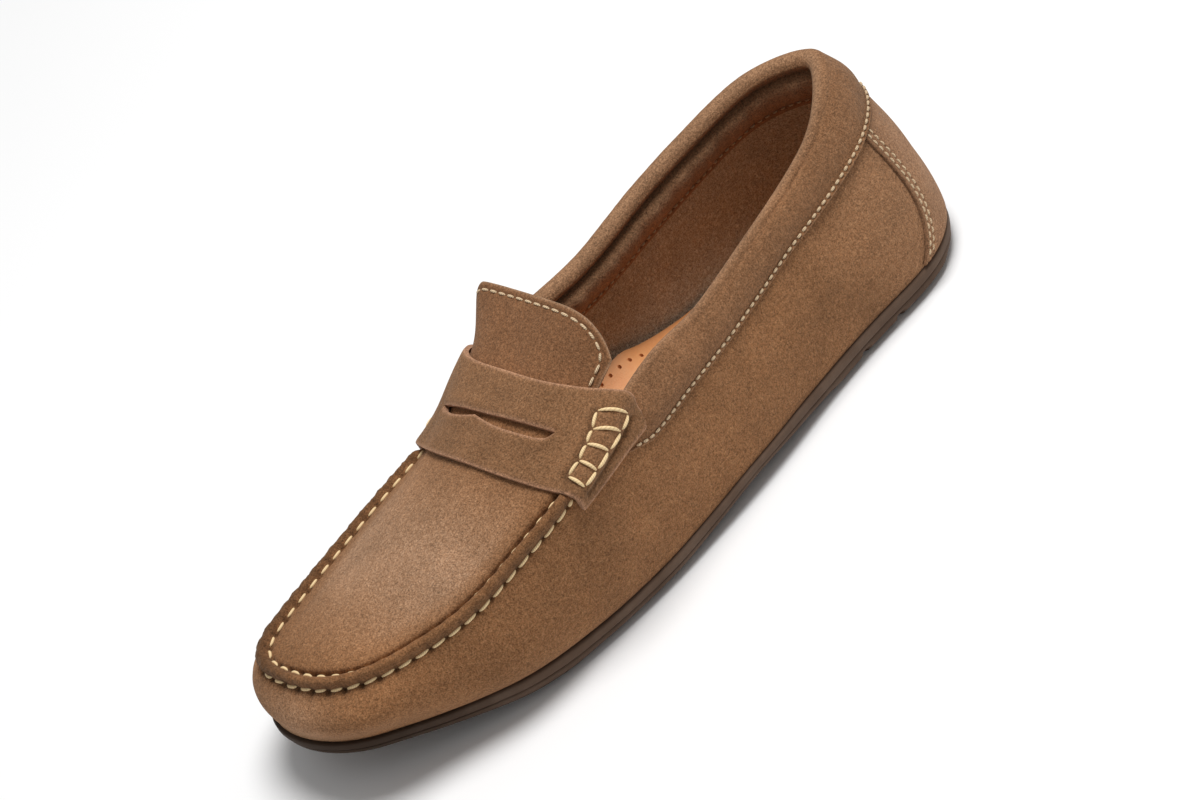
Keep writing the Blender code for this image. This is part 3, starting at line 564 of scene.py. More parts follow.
class Paint:
    """Short hand for building node trees."""

    def __init__(self, tree: bpy.types.NodeTree) -> None:
        self.tree = tree

    @staticmethod
    def material(name: str) -> tuple:
        """Start a material, with its paint and its surface shader."""
        made = bpy.data.materials.new(name)
        made.use_nodes = True
        return made, Paint(made.node_tree), made.node_tree.nodes["Principled BSDF"]

    def node(self, kind: str, **values: object) -> bpy.types.Node:
        """Add a node and set its properties."""
        made = self.tree.nodes.new(kind)
        for key, value in values.items():
            setattr(made, key, value)
        return made

    def link(self, source: bpy.types.NodeSocket, target: bpy.types.NodeSocket) -> None:
        """Link two sockets."""
        self.tree.links.new(source, target)

    def put(self, target: bpy.types.NodeSocket, value: object) -> None:
        """Link a socket or set a plain value."""
        if isinstance(value, bpy.types.NodeSocket):
            self.link(value, target)
        else:
            target.default_value = value

    def math(self, operation: str, first: object, second: object = 0.0, third: object = 0.0) -> object:
        """Add a math node and return its value."""
        made = self.node("ShaderNodeMath", operation=operation)
        self.put(made.inputs[0], first)
        self.put(made.inputs[1], second)
        self.put(made.inputs[2], third)
        return made.outputs[0]

    def times(self, first: object, second: object) -> object:
        """Multiply two values."""
        return self.math("MULTIPLY", first, second)

    def line(self, value: object, slope: object, start: object) -> object:
        """Multiply a value by a slope and add a start."""
        return self.math("MULTIPLY_ADD", value, slope, start)

    def mix(self, share: object, first: object, second: object, blend: str = "MIX") -> object:
        """Mix two colours and return the result."""
        made = self.node("ShaderNodeMix", data_type="RGBA", blend_type=blend)
        self.put(made.inputs["Factor"], share)
        self.put(made.inputs[6], first)
        self.put(made.inputs[7], second)
        return made.outputs[2]

    def scale(self, color: object, share: object) -> object:
        """Scale a colour and return the result."""
        made = self.node("ShaderNodeVectorMath", operation="SCALE")
        self.put(made.inputs[0], color)
        self.put(made.inputs["Scale"], share)
        return made.outputs[0]

    def finish(self, result: bpy.types.Node, color: object, height: object, rough: object) -> None:
        """Link a group's three results."""
        for label, value in (("Color", color), ("Height", height), ("Roughness", rough)):
            self.link(value, result.inputs[label])

    def noise(self, place: object, scale: float, detail: float = 2.0, rough: float = 0.5) -> object:
        """Add a noise texture and return its value."""
        made = self.node("ShaderNodeTexNoise")
        self.put(made.inputs["Vector"], place)
        made.inputs["Scale"].default_value = scale
        made.inputs["Detail"].default_value = detail
        made.inputs["Roughness"].default_value = rough
        return made.outputs["Fac"]

    def smooth(self, value: object, low: float, high: float) -> object:
        """Remap a value smoothly onto 0 to 1."""
        made = self.node("ShaderNodeMapRange", interpolation_type="SMOOTHSTEP")
        self.put(made.inputs["Value"], value)
        made.inputs["From Min"].default_value = low
        made.inputs["From Max"].default_value = high
        return made.outputs["Result"]

    def mark(self, name: str) -> object:
        """Read a value stored on the vertices."""
        return self.node("ShaderNodeAttribute", attribute_name=name).outputs["Fac"]

    def place(self) -> object:
        """Object coordinates in metres."""
        return self.node("ShaderNodeTexCoord").outputs["Object"]


class Palette:
    """Node groups and materials of the scene."""

    def __init__(self) -> None:
        self.nap = self.suede_group()
        self.pebble = self.rubber_group()
        self.grain = self.leather_group()
        self.ply = self.cord_group()

    @staticmethod
    def group(name: str, colors: tuple, values: tuple = ()) -> tuple:
        """Start a node group with colour, height and roughness results."""
        tree = bpy.data.node_groups.new(name, "ShaderNodeTree")
        sockets = [(label, "INPUT", "NodeSocketColor") for label in colors]
        sockets += [(label, "INPUT", "NodeSocketFloat") for label in values]
        sockets += [("Color", "OUTPUT", "NodeSocketColor")]
        sockets += [(label, "OUTPUT", "NodeSocketFloat") for label in ("Height", "Roughness")]
        for label, way, kind in sockets:
            tree.interface.new_socket(label, in_out=way, socket_type=kind)
        paint = Paint(tree)
        return tree, paint, paint.node("NodeGroupInput"), paint.node("NodeGroupOutput")

    def suede_group(self) -> bpy.types.NodeTree:
        """Nap of suede: speckle, pale nap and painted highlight, painted shade in the hollows, and edge
        colour of raw edges, painted highlight and painted shade.
        """
        colors = ("Base", "Pale", "Rim Color")
        tree, paint, given, result = self.group("suede_nap", colors, ("Nap",))
        place = paint.place()
        speck = paint.noise(place, 2100.0, 2.0, 0.65)
        fibre = paint.noise(place, 900.0, 3.0, 0.6)
        patch = paint.noise(place, 110.0, 3.0, 0.55)
        broad = paint.noise(place, 30.0, 2.0, 0.5)
        level = paint.line(speck, 2.5, -0.25)
        level = paint.times(level, paint.line(fibre, 1.2, 0.4))
        level = paint.times(level, paint.line(patch, 0.4, 0.8))
        level = paint.times(level, paint.line(broad, 0.6, 0.7))
        level = paint.math("POWER", level, given.outputs["Nap"])
        tints = ((1.03, 0.98, 0.93, 1.0), (0.99, 1.01, 1.03, 1.0))
        warm = paint.mix(paint.smooth(fibre, 0.36, 0.66), *tints)
        # Pale nap mixed in: partly the nap's own paler tone and partly painted highlight.
        nap_and_highlight = paint.times(paint.mark("nap_and_highlight"), paint.line(broad, 0.9, 0.5))
        color = paint.mix(nap_and_highlight, given.outputs["Base"], given.outputs["Pale"])
        color = paint.mix(1.0, color, warm, "MULTIPLY")
        # Edge colour: lighter raw edges, with painted highlight on the collar's roll and inner band and
        # painted shade along the patch's front edges.
        rim = paint.times(paint.mark("rim"), 0.75)
        color = paint.mix(rim, color, given.outputs["Rim Color"])
        shade = paint.line(paint.mark("shade"), -0.72, 1.0)
        color = paint.scale(color, paint.times(level, shade))
        height = paint.line(speck, 0.55, paint.times(fibre, 0.8))
        paint.finish(result, color, height, paint.line(fibre, 0.12, 0.86))
        return tree

    def rubber_group(self) -> bpy.types.NodeTree:
        """Moulded rubber: pebbled block tops, smooth band, paler dust in patches and on the blocks,
        painted shade in the hollows, on the side's step and towards the toe.
        """
        tree, paint, given, result = self.group("rubber_pebble", ("Base", "Dust"), ("Pebble",))
        place = paint.place()
        cells = paint.node("ShaderNodeTexVoronoi", feature="SMOOTH_F1")
        paint.link(place, cells.inputs["Vector"])
        cells.inputs["Scale"].default_value = 760.0
        fine = paint.noise(place, 1400.0, 2.0, 0.5)
        broad = paint.noise(place, 70.0, 4.0, 0.6)
        block = paint.mark("block")
        stone = paint.line(cells.outputs["Distance"], -1.0, 1.0)
        grit = paint.times(stone, block)
        dusty = paint.times(paint.smooth(broad, 0.35, 0.75), 0.35)
        dusty = paint.math("ADD", dusty, paint.times(block, 0.42))
        dusty = paint.times(dusty, paint.line(fine, 0.8, 0.6))
        color = paint.mix(dusty, given.outputs["Base"], given.outputs["Dust"])
        shade = paint.line(paint.mark("shade"), -0.6, 1.0)
        height = paint.times(grit, given.outputs["Pebble"])
        height = paint.line(fine, 0.16, height)
        rough = paint.line(broad, 0.25, 0.52)
        paint.finish(result, paint.scale(color, shade), height, rough)
        return tree

    def leather_group(self) -> bpy.types.NodeTree:
        """Smooth sock leather with a fine grain and paler rubbed places."""
        tree, paint, given, result = self.group("sock_grain", ("Base", "Worn"))
        place = paint.place()
        cells = paint.node("ShaderNodeTexVoronoi", feature="DISTANCE_TO_EDGE")
        paint.link(place, cells.inputs["Vector"])
        cells.inputs["Scale"].default_value = 1100.0
        fine = paint.noise(place, 900.0, 3.0, 0.6)
        broad = paint.noise(place, 60.0, 4.0, 0.55)
        share = paint.smooth(paint.line(fine, 0.35, broad), 0.45, 0.85)
        color = paint.mix(share, given.outputs["Base"], given.outputs["Worn"])
        shade = paint.line(paint.mark("shade"), -0.7, 1.0)
        height = paint.line(fine, 0.4, cells.outputs["Distance"])
        rough = paint.line(broad, 0.2, 0.42)
        paint.finish(result, paint.scale(color, shade), height, rough)
        return tree

    def cord_group(self) -> bpy.types.NodeTree:
        """Twisted thread: plies run slantwise round every stitch, with painted shade in the grooves
        between them.
        """
        tree, paint, given, result = self.group("cord_ply", ("Base", "Dark"), ("Plies",))
        uv = paint.node("ShaderNodeUVMap", uv_map="UVMap")
        split = paint.node("ShaderNodeSeparateXYZ")
        paint.link(uv.outputs["UV"], split.inputs[0])
        turn = paint.line(split.outputs["Y"], given.outputs["Plies"], split.outputs["X"])
        wave = paint.math("SINE", paint.times(turn, 4.0 * math.pi))
        ply = paint.line(wave, 0.5, 0.5)
        hair = paint.noise(paint.place(), 2600.0, 2.0, 0.6)
        fuzz = paint.line(hair, 0.5, 0.75)
        # Between the plies the colour goes to the dark colour: painted shade in the twist's grooves.
        share = paint.times(paint.smooth(ply, 0.0, 0.55), fuzz)
        color = paint.mix(share, given.outputs["Dark"], given.outputs["Base"])
        height = paint.line(hair, 0.3, ply)
        paint.finish(result, color, height, paint.line(hair, 0.2, 0.55))
        return tree

    @staticmethod
    def surface(name: str, group: bpy.types.NodeTree, given: dict, depth: float, fixed: dict) -> object:
        """Make a material from a node group.

        Args:
            name: material name.
            group: node group with colour, height and roughness.
            given: values of the group's inputs.
            depth: bump distance in millimetres.
            fixed: plain values set on the surface shader.
        Returns:
            The material.
        """
        material, paint, shader = Paint.material(name)
        source = paint.node("ShaderNodeGroup", node_tree=group)
        for label, value in given.items():
            source.inputs[label].default_value = value
        relief = paint.node("ShaderNodeBump")
        relief.inputs["Strength"].default_value = 1.0
        relief.inputs["Distance"].default_value = depth * MM
        paint.link(source.outputs["Height"], relief.inputs["Height"])
        paint.link(relief.outputs["Normal"], shader.inputs["Normal"])
        paint.link(source.outputs["Color"], shader.inputs["Base Color"])
        paint.link(source.outputs["Roughness"], shader.inputs["Roughness"])
        for label, value in fixed.items():
            shader.inputs[label].default_value = value
        return material

    def suede(self, finish: Suede) -> object:
        """Material of a suede finish."""
        given = {
            "Base": (*finish.color, 1.0),
            "Pale": (*finish.pale, 1.0),
            "Rim Color": (*finish.rim, 1.0),
            "Nap": finish.nap,
        }
        fixed = {
            "Specular IOR Level": 0.12,
            "Sheen Weight": finish.sheen,
            "Sheen Roughness": 0.55,
            "Sheen Tint": (1.0, 0.80, 0.60, 1.0),
        }
        return self.surface(finish.name, self.nap, given, 0.45, fixed)

    def rubber(self, finish: Rubber) -> object:
        """Material of the sole."""
        given = {"Base": (*finish.color, 1.0), "Dust": (*finish.dust, 1.0), "Pebble": finish.pebble}
        return self.surface(finish.name, self.pebble, given, 0.5, {"Specular IOR Level": 0.08})

    def leather(self, finish: Leather) -> object:
        """Material of the sock."""
        given = {"Base": (*finish.color, 1.0), "Worn": (*finish.worn, 1.0)}
        return self.surface(finish.name, self.grain, given, 0.10, {"Specular IOR Level": 0.4})

    def cord(self, finish: Cord) -> object:
        """Material of a thread."""
        given = {"Base": (*finish.color, 1.0), "Dark": (*finish.dark, 1.0), "Plies": finish.plies}
        return self.surface(finish.name, self.ply, given, finish.twist, {"Specular IOR Level": 0.35})


def settle(piece: Piece, material: object, node: str) -> Piece:
    """Give a finished piece its material and its place in the frame.

    Args:
        piece: finished piece.
        material: its material.
        node: frame node that the piece replaces, or an empty text for a new piece.
    Returns:
        The piece.
    """
    piece.data.materials.clear()
    piece.data.materials.append(material)
    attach(piece, "root")
    if node:
        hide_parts(node)
    Bench.report(piece)
    return piece


@dataclass
class MoccasinSeam:
    """Raised hand-sewn seam: its ridge, its stitch pitch and its pulled holes."""

    start: float = 182.0
    pitch: float = 5.95
    high: float = 3.7
    half: float = 1.75

    def __post_init__(self) -> None:
        begin = LAST.u_at(self.start, Side.OUTER)
        end = LAST.u_at(self.start, Side.INNER)
        self.marks = np.linspace(begin - 0.06, end + 0.06, 2400)
        run = lengths(LAST.crest(self.marks))
        self.run = run - np.interp(begin, self.marks, run)
        self.length = float(np.interp(end, self.marks, self.run))

    def run_at(self, u: Array) -> Array:
        """Length along the seam from the strap's outer front corner."""
        return np.interp(u, self.marks, self.run)

    def mark_at(self, run: Array) -> Array:
        """Parameter round the shoe at a length along the seam."""
        return np.interp(run, self.run, self.marks)

    def hole(self, run: Array, half: float = 0.85) -> Array:
        """1 at the stitch holes, which lie halfway between stitch middles."""
        turn = np.asarray(run) / self.pitch - 0.5
        return np.exp(-(((turn - np.round(turn)) * self.pitch / half) ** 2))

    def centre(self, u: Array) -> Array:
        """Offset of the ridge's middle from the crest, above 0 towards the apron."""
        return 1.9 - 2.7 * ease(0.50, 0.56, u)

    @staticmethod
    def far(u: Array) -> Array:
        """0 on the outer side of the toe and 1 on the inner side."""
        return ease(0.48, 0.54, u)

    def spot(self, u: float, off: float) -> Array:
        """Point of the plain skin at an offset from the crest."""
        one = np.array([u])
        crest = LAST.crest(one)[0]
        if off < 0.0:
            return LAST.wall(one, 1.0 + off / LAST.tall(one)[0])[0]
        plan = crest[:2] - LAST.outward(one)[0][:2] * off * 0.9
        return np.array([plan[0], plan[1], float(LAST.dome(plan[0], plan[1]))])

    def relief(self, u: Array, off: Array, x: Array) -> tuple:
        """Lift and shade of the skin near the seam.

        Args:
            u: parameter round the shoe.
            off: millimetres from the crest, below 0 down the wall and above 0 on the apron.
            x: length along the shoe.
        Returns:
            Lift along the normal in millimetres and shade from 0 to 1.
        """
        run = self.run_at(u)
        on = 0.2 + 0.8 * ease(181.0, 185.0, x)
        away = off - self.centre(u)
        far = self.far(u)
        power = np.where(away > 0.0, 6.0 - 3.2 * far, 2.8)
        inside = np.clip(1.0 - (np.abs(away) / self.half) ** power, 0.0, 1.0)
        hole = self.hole(run)
        pleat = np.cos(2.0 * math.pi * run / self.pitch)
        rise = (self.high - 0.7 * far) * (1.0 + 0.015 * pleat + 0.03 * ripple(run, 11.0, 1.7))
        lift = rise * inside ** 0.58
        groove = 0.40 * bump(away, -self.half - 0.4, 0.7)
        groove = groove + (0.8 - 0.6 * far) * bump(away, self.half + 0.45, 0.95)
        pull = hole * (0.8 * bump(away, -self.half - 0.3, 0.8) + 0.6 * bump(away, self.half + 0.3, 0.8))
        below = np.clip(-away - self.half, 0.0, 60.0)
        above = np.clip(away - self.half, 0.0, 60.0)
        gather = (0.2 - 0.1 * far) * pleat * np.exp(-below / 4.0) * (away < -self.half)
        gather = gather + 0.14 * pleat * np.exp(-above / 3.5) * (away > self.half)
        swell = 1.5 * (1.0 - far) * ease(0.2, 2.0, above) * np.exp(-above / 7.0)
        fine = 0.16 * ripple(run + 1.4 * away, 2.9, 0.6) + 0.14 * ripple(run - 2.0 * away, 1.9, 2.1)
        fine = (fine + 0.16 * ripple(run - 0.8 * away, 4.7, 1.3)) * inside
        lift = (lift - groove - pull + gather + fine + swell) * on
        shade = 0.45 * bump(away, -self.half - 0.2, 0.75) + 0.15 * bump(away, self.half + 0.2, 0.7)
        shade = shade + 0.55 * hole * bump(away, -self.half - 0.3, 0.8)
        shade = shade + 0.5 * hole * bump(away, self.half + 0.3, 0.8)
        shade = shade + (0.14 + 0.56 * far) * inside
        return lift, np.clip(shade * on, 0.0, 1.0)


class Crease(NamedTuple):
    """Soft trough on the wall, placed along a short line."""

    name: str
    x: float
    level: float
    lean: float
    length: float
    width: float
    depth: float


CREASES = (
    Crease("quarter_drag_1", 128.0, 0.55, 10.0, 22.0, 5.0, 0.55),
    Crease("quarter_drag_2", 110.0, 0.56, 6.0, 20.0, 5.5, 0.5),
    Crease("quarter_drag_3", 92.0, 0.57, 2.0, 22.0, 6.0, 0.55),
    Crease("quarter_drag_4", 72.0, 0.55, -4.0, 24.0, 6.0, 0.5),
    Crease("quarter_drag_5", 54.0, 0.52, -8.0, 26.0, 6.5, 0.45),
    Crease("vamp_hollow", 168.0, 0.55, 14.0, 26.0, 9.0, 0.6),
    Crease("vamp_fold", 196.0, 0.42, 10.0, 18.0, 8.0, 0.45),
    Crease("toe_dent", 236.0, 0.40, 12.0, 14.0, 8.0, 0.35),
)


@dataclass
class Upper:
    """Vamp, quarters and apron: one suede skin with the raised seam."""

    seam: MoccasinSeam
    wall: float = 2.0
    split: float = 148.5
    quarter_end: float = 150.0
    band_top: float = 0.742
    rear_columns: int = 210
    front_columns: int = 330
    throat_middle: float = 167.0
    throat_end: float = 157.0
    throat_wide: float = 0.85

    def throat(self, share: Array) -> Array:
        """Length at which the apron ends under the strap."""
        return self.throat_middle + (self.throat_end - self.throat_middle) * np.asarray(share) ** 2

    def folds(self, points: Array, u: Array, level: Array) -> Array:
        """Depth of the listed creases, in millimetres."""
        x = points[..., 0]
        side = LAST.outward(u.ravel()).reshape(*u.shape, 3)[..., 1]
        tall = LAST.tall(u.ravel()).reshape(u.shape)
        depth = np.zeros(x.shape)
        for crease in CREASES:
            up = (level - crease.level) * tall
            along = x - crease.x - up * math.tan(math.radians(crease.lean))
            depth += crease.depth * bump(along, 0.0, crease.width) * bump(up, 0.0, crease.length / 2.0)
        pucker = bump(level, self.band_top - 0.05, 0.12) * (x < self.quarter_end)
        depth += 0.30 * pucker * ripple(x + 0.6 * points[..., 1], 15.0, 0.9)
        return depth * np.where(side > 0.0, 1.0, 0.85)

    def pale_nap_and_highlight(self, points: Array, off: Array) -> Array:
        """How pale the nap is, from 0 to 1: partly its own paler nap and partly painted highlight,
        strongest on the apron's middle.
        """
        x = points[..., 0]
        y = points[..., 1]
        # The apron's paler middle is mostly painted highlight, where light falls on the apron.
        apron = ease(2.0, 15.0, off) * (0.05 + 0.80 * bump(x, 222.0, 22.0))
        toe = 0.5 * bump(x, 279.0, 9.0) * bump(y, -8.0, 16.0) * (off < 0.0)
        heel = 0.2 * (1.0 - ease(20.0, 80.0, x))
        return np.clip(apron + toe + heel, 0.0, 1.0)

    def marked(self, name: str, points: Array, relief: Array, shade: Array, off: Array) -> Piece:
        """Sheet of the skin with its relief, its painted shade and its pale nap with painted highlight.
        """
        piece = Bench.sheet(name, points, flip=True)
        nap_and_highlight = self.pale_nap_and_highlight(points, off)
        Bench.mark(piece, relief=relief, shade=shade, rim=np.zeros(shade.shape), nap_and_highlight=nap_and_highlight)
        return piece

    def band(self, marks: Array) -> Piece:
        """Lower band of the wall, right round the shoe."""
        rows = 34
        levels = self.band_top * np.linspace(0.0, 1.0, rows)
        points = np.stack([LAST.wall(marks, level) for level in levels], axis=1)
        u = np.repeat(marks[:, None], rows, axis=1)
        level = np.repeat(levels[None, :], len(marks), axis=0)
        normal = -grid_normals(points)
        normal[0] = normal[-1] = (normal[0] + normal[-1]) / 2.0
        off = -(1.0 - level) * LAST.tall(marks)[:, None]
        front = points[..., 0] > self.quarter_end
        lift, shade = self.seam.relief(np.mod(u, 1.0), off, np.where(front, points[..., 0], 0.0))
        lift = lift * front - self.folds(points, u, level)
        shade = shade * front + 0.35 * bump(level, 0.0, 0.02)
        return self.marked("upper_band", points, normal * lift[..., None], shade, off)

    def top(self, marks: Array) -> Piece:
        """Top of the wall in front of the collar, over the seam and on over the apron."""
        tall = LAST.tall(marks)
        crest = LAST.crest(marks)
        rows = []
        height = tall * (1.0 - self.band_top)
        fall = [height * (1.0 - part) + 3.8 * part for part in np.linspace(0.0, 1.0, 6)]
        fall = fall + [np.full(len(marks), step) for step in np.arange(3.4, 0.3, -0.38)]
        for down in fall:
            level = 1.0 - down / tall
            rows.append((LAST.wall(marks, level), -down, level))
        share = np.linspace(1.0, -1.0, len(marks)) * self.throat_wide
        throat_x = self.throat(share / self.throat_wide)
        throat = np.c_[throat_x, LAST.across(throat_x, share)]
        short = np.minimum(1.0, 0.03 * np.linalg.norm(throat - crest[:, :2], axis=1))
        inward = -LAST.outward(marks)[:, :2] * short[:, None]
        steps = np.concatenate([np.arange(0.0, 5.1, 0.30), np.array([5.7, 6.5, 7.6])])
        rest = np.linspace(0.0, 1.0, 24)[1:]
        crest_level = np.ones(len(marks))
        for step in steps:
            plan = crest[:, :2] + inward * step
            rows.append((LAST.on_dome(plan), step * short * 1.1, crest_level))
        begin = crest[:, :2] + inward * steps[-1]
        for part in rest:
            plan = begin + (throat - begin) * part
            off = np.linalg.norm(plan - crest[:, :2], axis=1) * 1.1
            rows.append((LAST.on_dome(plan), off, crest_level))
        points, off, level = (np.stack(column, axis=1) for column in zip(*rows))
        normal = -grid_normals(points)
        u = np.repeat(marks[:, None], off.shape[1], axis=1)
        x = np.repeat(crest[:, :1], off.shape[1], axis=1)
        lift, shade = self.seam.relief(u, off, x)
        apron = ease(6.0, 16.0, off)
        swell = 0.28 * ripple(points[..., 0] + 0.5 * points[..., 1], 34.0, 2.2)
        swell = swell + 0.22 * ripple(points[..., 1] - 0.3 * points[..., 0], 27.0, 0.4)
        lift = lift + apron * swell
        lift = lift - self.folds(points, u, level) * (off < -2.6)
        return self.marked("upper_top", points, normal * lift[..., None], shade, off)

    def build(self) -> Piece:
        """Make the whole skin."""
        start = LAST.u_at(self.split, Side.INNER)
        end = LAST.u_at(self.split, Side.OUTER) + 1.0
        rear = np.linspace(start, end, self.rear_columns)
        front = np.linspace(end - 1.0, start, self.front_columns)
        marks = np.concatenate([rear[:-1] - 1.0, front])
        piece = Bench.join("upper_suede", [self.band(marks), self.top(front)])
        Bench.merge(piece)
        Bench.thicken(piece, self.wall)
        Bench.smooth(piece, 60.0)
        return piece


@dataclass
class Collar:
    """Padded suede band over the top edge of the quarters."""

    patch_middle: float
    patch_half: float
    patch_over: float = 1.25
    columns: int = 420
    rows: int = 84
    end: float = 161.0
    roll: float = 3.15
    thinner: float = 0.7
    lower: float = 0.035
    edge: float = 0.018
    # Level of the stitch line along the shoe: x, level on the wall
    stitch: tuple = (
        (0.0, 0.700), (7.0, 0.706), (14.0, 0.718), (25.0, 0.725), (48.0, 0.735), (65.0, 0.735),
        (85.0, 0.724), (105.0, 0.713), (124.0, 0.700), (139.0, 0.692), (147.7, 0.708),
        (155.0, 0.775), (161.0, 0.850),
    )
    # Lengths between which the padded section becomes a flat one
    flat_span: tuple = (147.0, 152.5)
    # Section outside: rise of the level above the raw edge, padding
    outside: tuple = (
        (0.000, 0.12), (0.001, 0.80), (0.008, 0.98), (0.014, 0.75), (0.020, 0.52), (0.030, 0.70),
        (0.050, 1.35), (0.082, 2.20), (0.120, 2.75), (0.165, 2.70), (0.210, 2.05),
    )
    # Section inside: level on the wall, depth behind its outer face
    inside: tuple = (
        (0.905, 4.75), (0.888, 5.60), (0.855, 7.40), (0.810, 8.00), (0.762, 7.40), (0.718, 6.00),
        (0.690, 4.60), (0.675, 4.50), (0.655, 3.95), (0.638, 2.95), (0.690, 2.40), (0.745, 1.2),
        (0.748, 0.1),
    )
    # Row of stitches inside: level on the wall, depth behind its outer face
    inside_stitch: tuple = (0.690, 4.65)

    def __post_init__(self) -> None:
        self.marks = LAST.rear(self.end, self.columns)
        self.level = smooth_table(self.stitch)

    def low(self, x: Array) -> Array:
        """Level of the band's raw lower edge."""
        return self.level(x) - self.edge

    def section(self) -> Array:
        """Control points of the section at every column."""
        marks = self.marks
        out = LAST.outward(marks)
        x = LAST.crest(marks)[:, 0]
        low = self.low(x)
        flat = ease(*self.flat_span, x)[:, None]
        on_patch = bump(np.mod(marks + 0.5, 1.0) - 0.5, self.patch_middle, self.patch_half) ** 0.2
        on_patch = self.patch_over * ease(0.25, 0.6, on_patch)[:, None]
        ring = []
        for k, (rise, pad) in enumerate(self.outside):
            lap = on_patch * max(0.0, 1.0 - max(0, k - 4) / 3.5)
            full = LAST.wall(marks, low + rise) + out * (pad + lap)
            level = low + np.minimum(rise, 0.11)
            thin = LAST.wall(marks, level) + out * min(pad, 1.05)
            ring.append(full * (1.0 - flat) + thin * flat)
        near = ease(0.0, 0.95, out[:, 1]) * ease(2.0, 42.0, x)
        roll = (self.roll + 0.35 * (1.0 - near) - self.thinner * near)[:, None]
        upright = np.array([[0.0, 0.0, 1.0]])
        level = 0.95 - self.lower * near * (1.0 - ease(104.0, 130.0, x))
        centre = LAST.wall(marks, level) + out * (0.65 - roll)
        for angle in range(18, 187, 24):
            turn = math.radians(angle)
            full = centre + out * roll * math.cos(turn) + upright * roll * math.sin(turn)
            thin = LAST.wall(marks, low + 0.12) + out * (0.5 * (1.0 + math.cos(turn)))
            ring.append(full * (1.0 - flat) + thin * flat)
        for level, depth in self.inside:
            full = LAST.wall(marks, level) - out * depth
            thin = LAST.wall(marks, low + 0.05) + out * 0.05
            ring.append(full * (1.0 - flat) + thin * flat)
        return np.stack(ring, axis=1)

    def build(self) -> Piece:
        """Make the band as a closed tube with both ends drawn shut."""
        control = self.section()
        count = control.shape[1]
        place = np.linspace(0.0, count, self.rows + 1)
        cell = np.minimum(place.astype(int), count - 1)
        t = (place - cell)[None, :, None]
        before = control[:, (cell - 1) % count]
        first = control[:, cell % count]
        second = control[:, (cell + 1) % count]
        after = control[:, (cell + 2) % count]
        bow = 2.0 * first + (second - before) * t
        bow = bow + (2.0 * before - 5.0 * first + 4.0 * second - after) * t ** 2
        bow = bow + (3.0 * first - before - 3.0 * second + after) * t ** 3
        points = bow / 2.0
        run = lengths(LAST.crest(self.marks))[:, None]
        row = place[None, :]
        out = LAST.outward(self.marks)[:, None, :]
        puff = ease(4.0, 7.0, row) * (1.0 - ease(10.0, 14.0, row))
        wave = 0.22 * ripple(run, 17.0, 1.1) + 0.12 * ripple(run, 6.0, 0.3)
        inner = ease(20.0, 22.0, row) * (1.0 - ease(24.0, 26.0, row))
        wrinkle = 0.45 * ripple(run, 13.0, 2.7) + 0.22 * ripple(run, 5.5, 1.9)
        points = points + out * (puff * wave - inner * wrinkle)[..., None]
        shade = 0.35 * bump(row, 4.0, 0.8) + 0.55 * bump(row, 19.3, 1.0) + 0.45 * bump(row, 25.0, 0.7)
        shade = shade + 0.06 * ease(19.0, 21.0, row)
        # Lighter raw lower edge near row 0; the lighter bands along the roll's top and the inner padded
        # band are painted highlight.
        rim = bump(row, 0.8, 0.7) + 0.5 * bump(row, 15.0, 2.2) + 0.4 * bump(row, 22.0, 1.8)
        caps = np.repeat(points[[0, -1]].mean(axis=1, keepdims=True), points.shape[1], axis=1)
        points = np.concatenate([caps[:1], points, caps[1:]])
        shade = np.broadcast_to(np.clip(shade, 0.0, 1.0), points.shape[:2])
        piece = Bench.sheet("collar_pad", points)
        Bench.mark(piece, shade=shade, rim=np.broadcast_to(rim, points.shape[:2]))
        Bench.merge(piece)
        Bench.outward(piece)
        Bench.smooth(piece, 70.0)
        return piece


